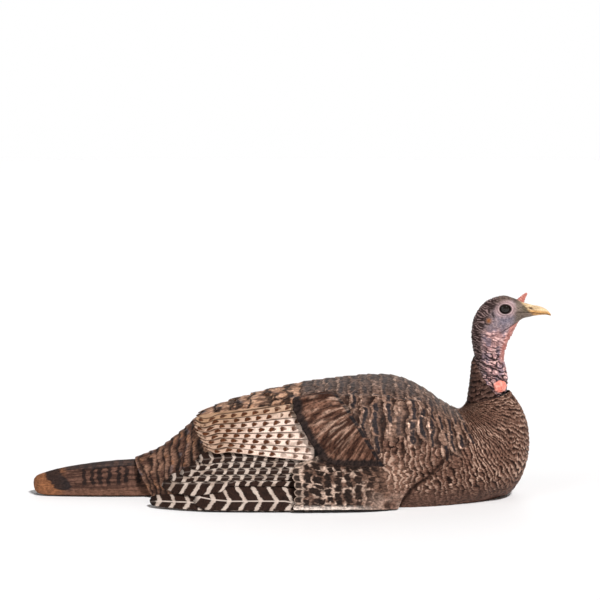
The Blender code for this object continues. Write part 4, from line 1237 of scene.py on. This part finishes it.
fittings()
body_skin()
tail_skin()
head_skin()
snood()
eyes()
neck_cape_skin()
for word in SIDES:
    wing_panel_skin(word)
    for order in range(len(PRIMARY["tip_x"])):
        flight_feather("primary", order, word, "barred_feather")
    for order in range(len(SECONDARY["tip_x"])):
        flight_feather("secondary", order, word, "cream_feather")


# ---- stage, light and camera ---------------------------------------------------------------------------
FLOOR_REACH = 60.0
LIGHTS = {"key": ((0.55, -0.72, 1.15), 3.5, 9), "fill": ((-0.80, -0.62, 0.55), 0.62, 40),
          "rim": ((0.1, 0.9, 0.8), 0.5, 40)}    # where each shines from, strength, spread in degrees
HORIZON = {"From Min": 0.18, "From Max": 0.22, "To Min": 1.0, "To Max": 0.09}   # white low down, dim above
CAMERA_AWAY = 2.6
CAMERA_PITCH = math.radians(5)
CAMERA_AIM = Vector((0.0126, 0, 0.288))
CAMERA_LENS = 106.1


def stage():
    floor_paint = Paint("paper_floor", roughness=0.55, specular=0.3)
    tone = floor_paint.noise(floor_paint.place(), 2.0, 2.0)
    floor_paint.finish(floor_paint.mix(tone, (0.90, 0.89, 0.89), (0.93, 0.92, 0.92)))
    mesh = bpy.data.meshes.new("floor")
    corners = [(a * FLOOR_REACH, b * FLOOR_REACH, 0) for a, b in ((-1, -1), (1, -1), (1, 1), (-1, 1))]
    mesh.from_pydata(corners, [], [(0, 1, 2, 3)])
    mesh.materials.append(floor_paint.material)
    floor = bpy.data.objects.new("floor", mesh)
    bpy.context.scene.collection.objects.link(floor)


def sun(name, origin, strength, spread):
    """A soft distant light that shines from the given direction."""
    light = bpy.data.lights.new(name, "SUN")
    light.energy = strength
    light.angle = math.radians(spread)
    obj = bpy.data.objects.new(name, light)
    obj.rotation_euler = Vector(origin).to_track_quat("Z", "Y").to_euler()
    bpy.context.scene.collection.objects.link(obj)


def studio():
    """A white world near the horizon that is dimmer overhead."""
    world = bpy.data.worlds.new("studio")
    bpy.context.scene.world = world
    world.use_nodes = True
    tree = world.node_tree
    heading = tree.nodes.new("ShaderNodeTexCoord").outputs["Generated"]
    split = tree.nodes.new("ShaderNodeSeparateXYZ")
    fade = tree.nodes.new("ShaderNodeMapRange")
    for key, value in HORIZON.items():
        fade.inputs[key].default_value = value
    tree.links.new(heading, split.inputs[0])
    tree.links.new(split.outputs["Z"], fade.inputs["Value"])
    tree.links.new(fade.outputs["Result"], tree.nodes["Background"].inputs["Strength"])
    tree.nodes["Background"].inputs["Color"].default_value = (1, 1, 1, 1)
    bpy.context.scene.view_settings.view_transform = "Standard"


stage()
for name, (origin, strength, spread) in LIGHTS.items():
    sun(name, origin, strength, spread)
studio()

camera = bpy.data.cameras.new("camera")
camera.lens = CAMERA_LENS
camera.sensor_width = 36
viewer = bpy.data.objects.new("camera", camera)
viewer.location = CAMERA_AIM + CAMERA_AWAY * Vector((0, -math.cos(CAMERA_PITCH), math.sin(CAMERA_PITCH)))
viewer.rotation_euler = (math.pi / 2 - CAMERA_PITCH, 0, 0)
bpy.context.scene.collection.objects.link(viewer)
bpy.context.scene.camera = viewer
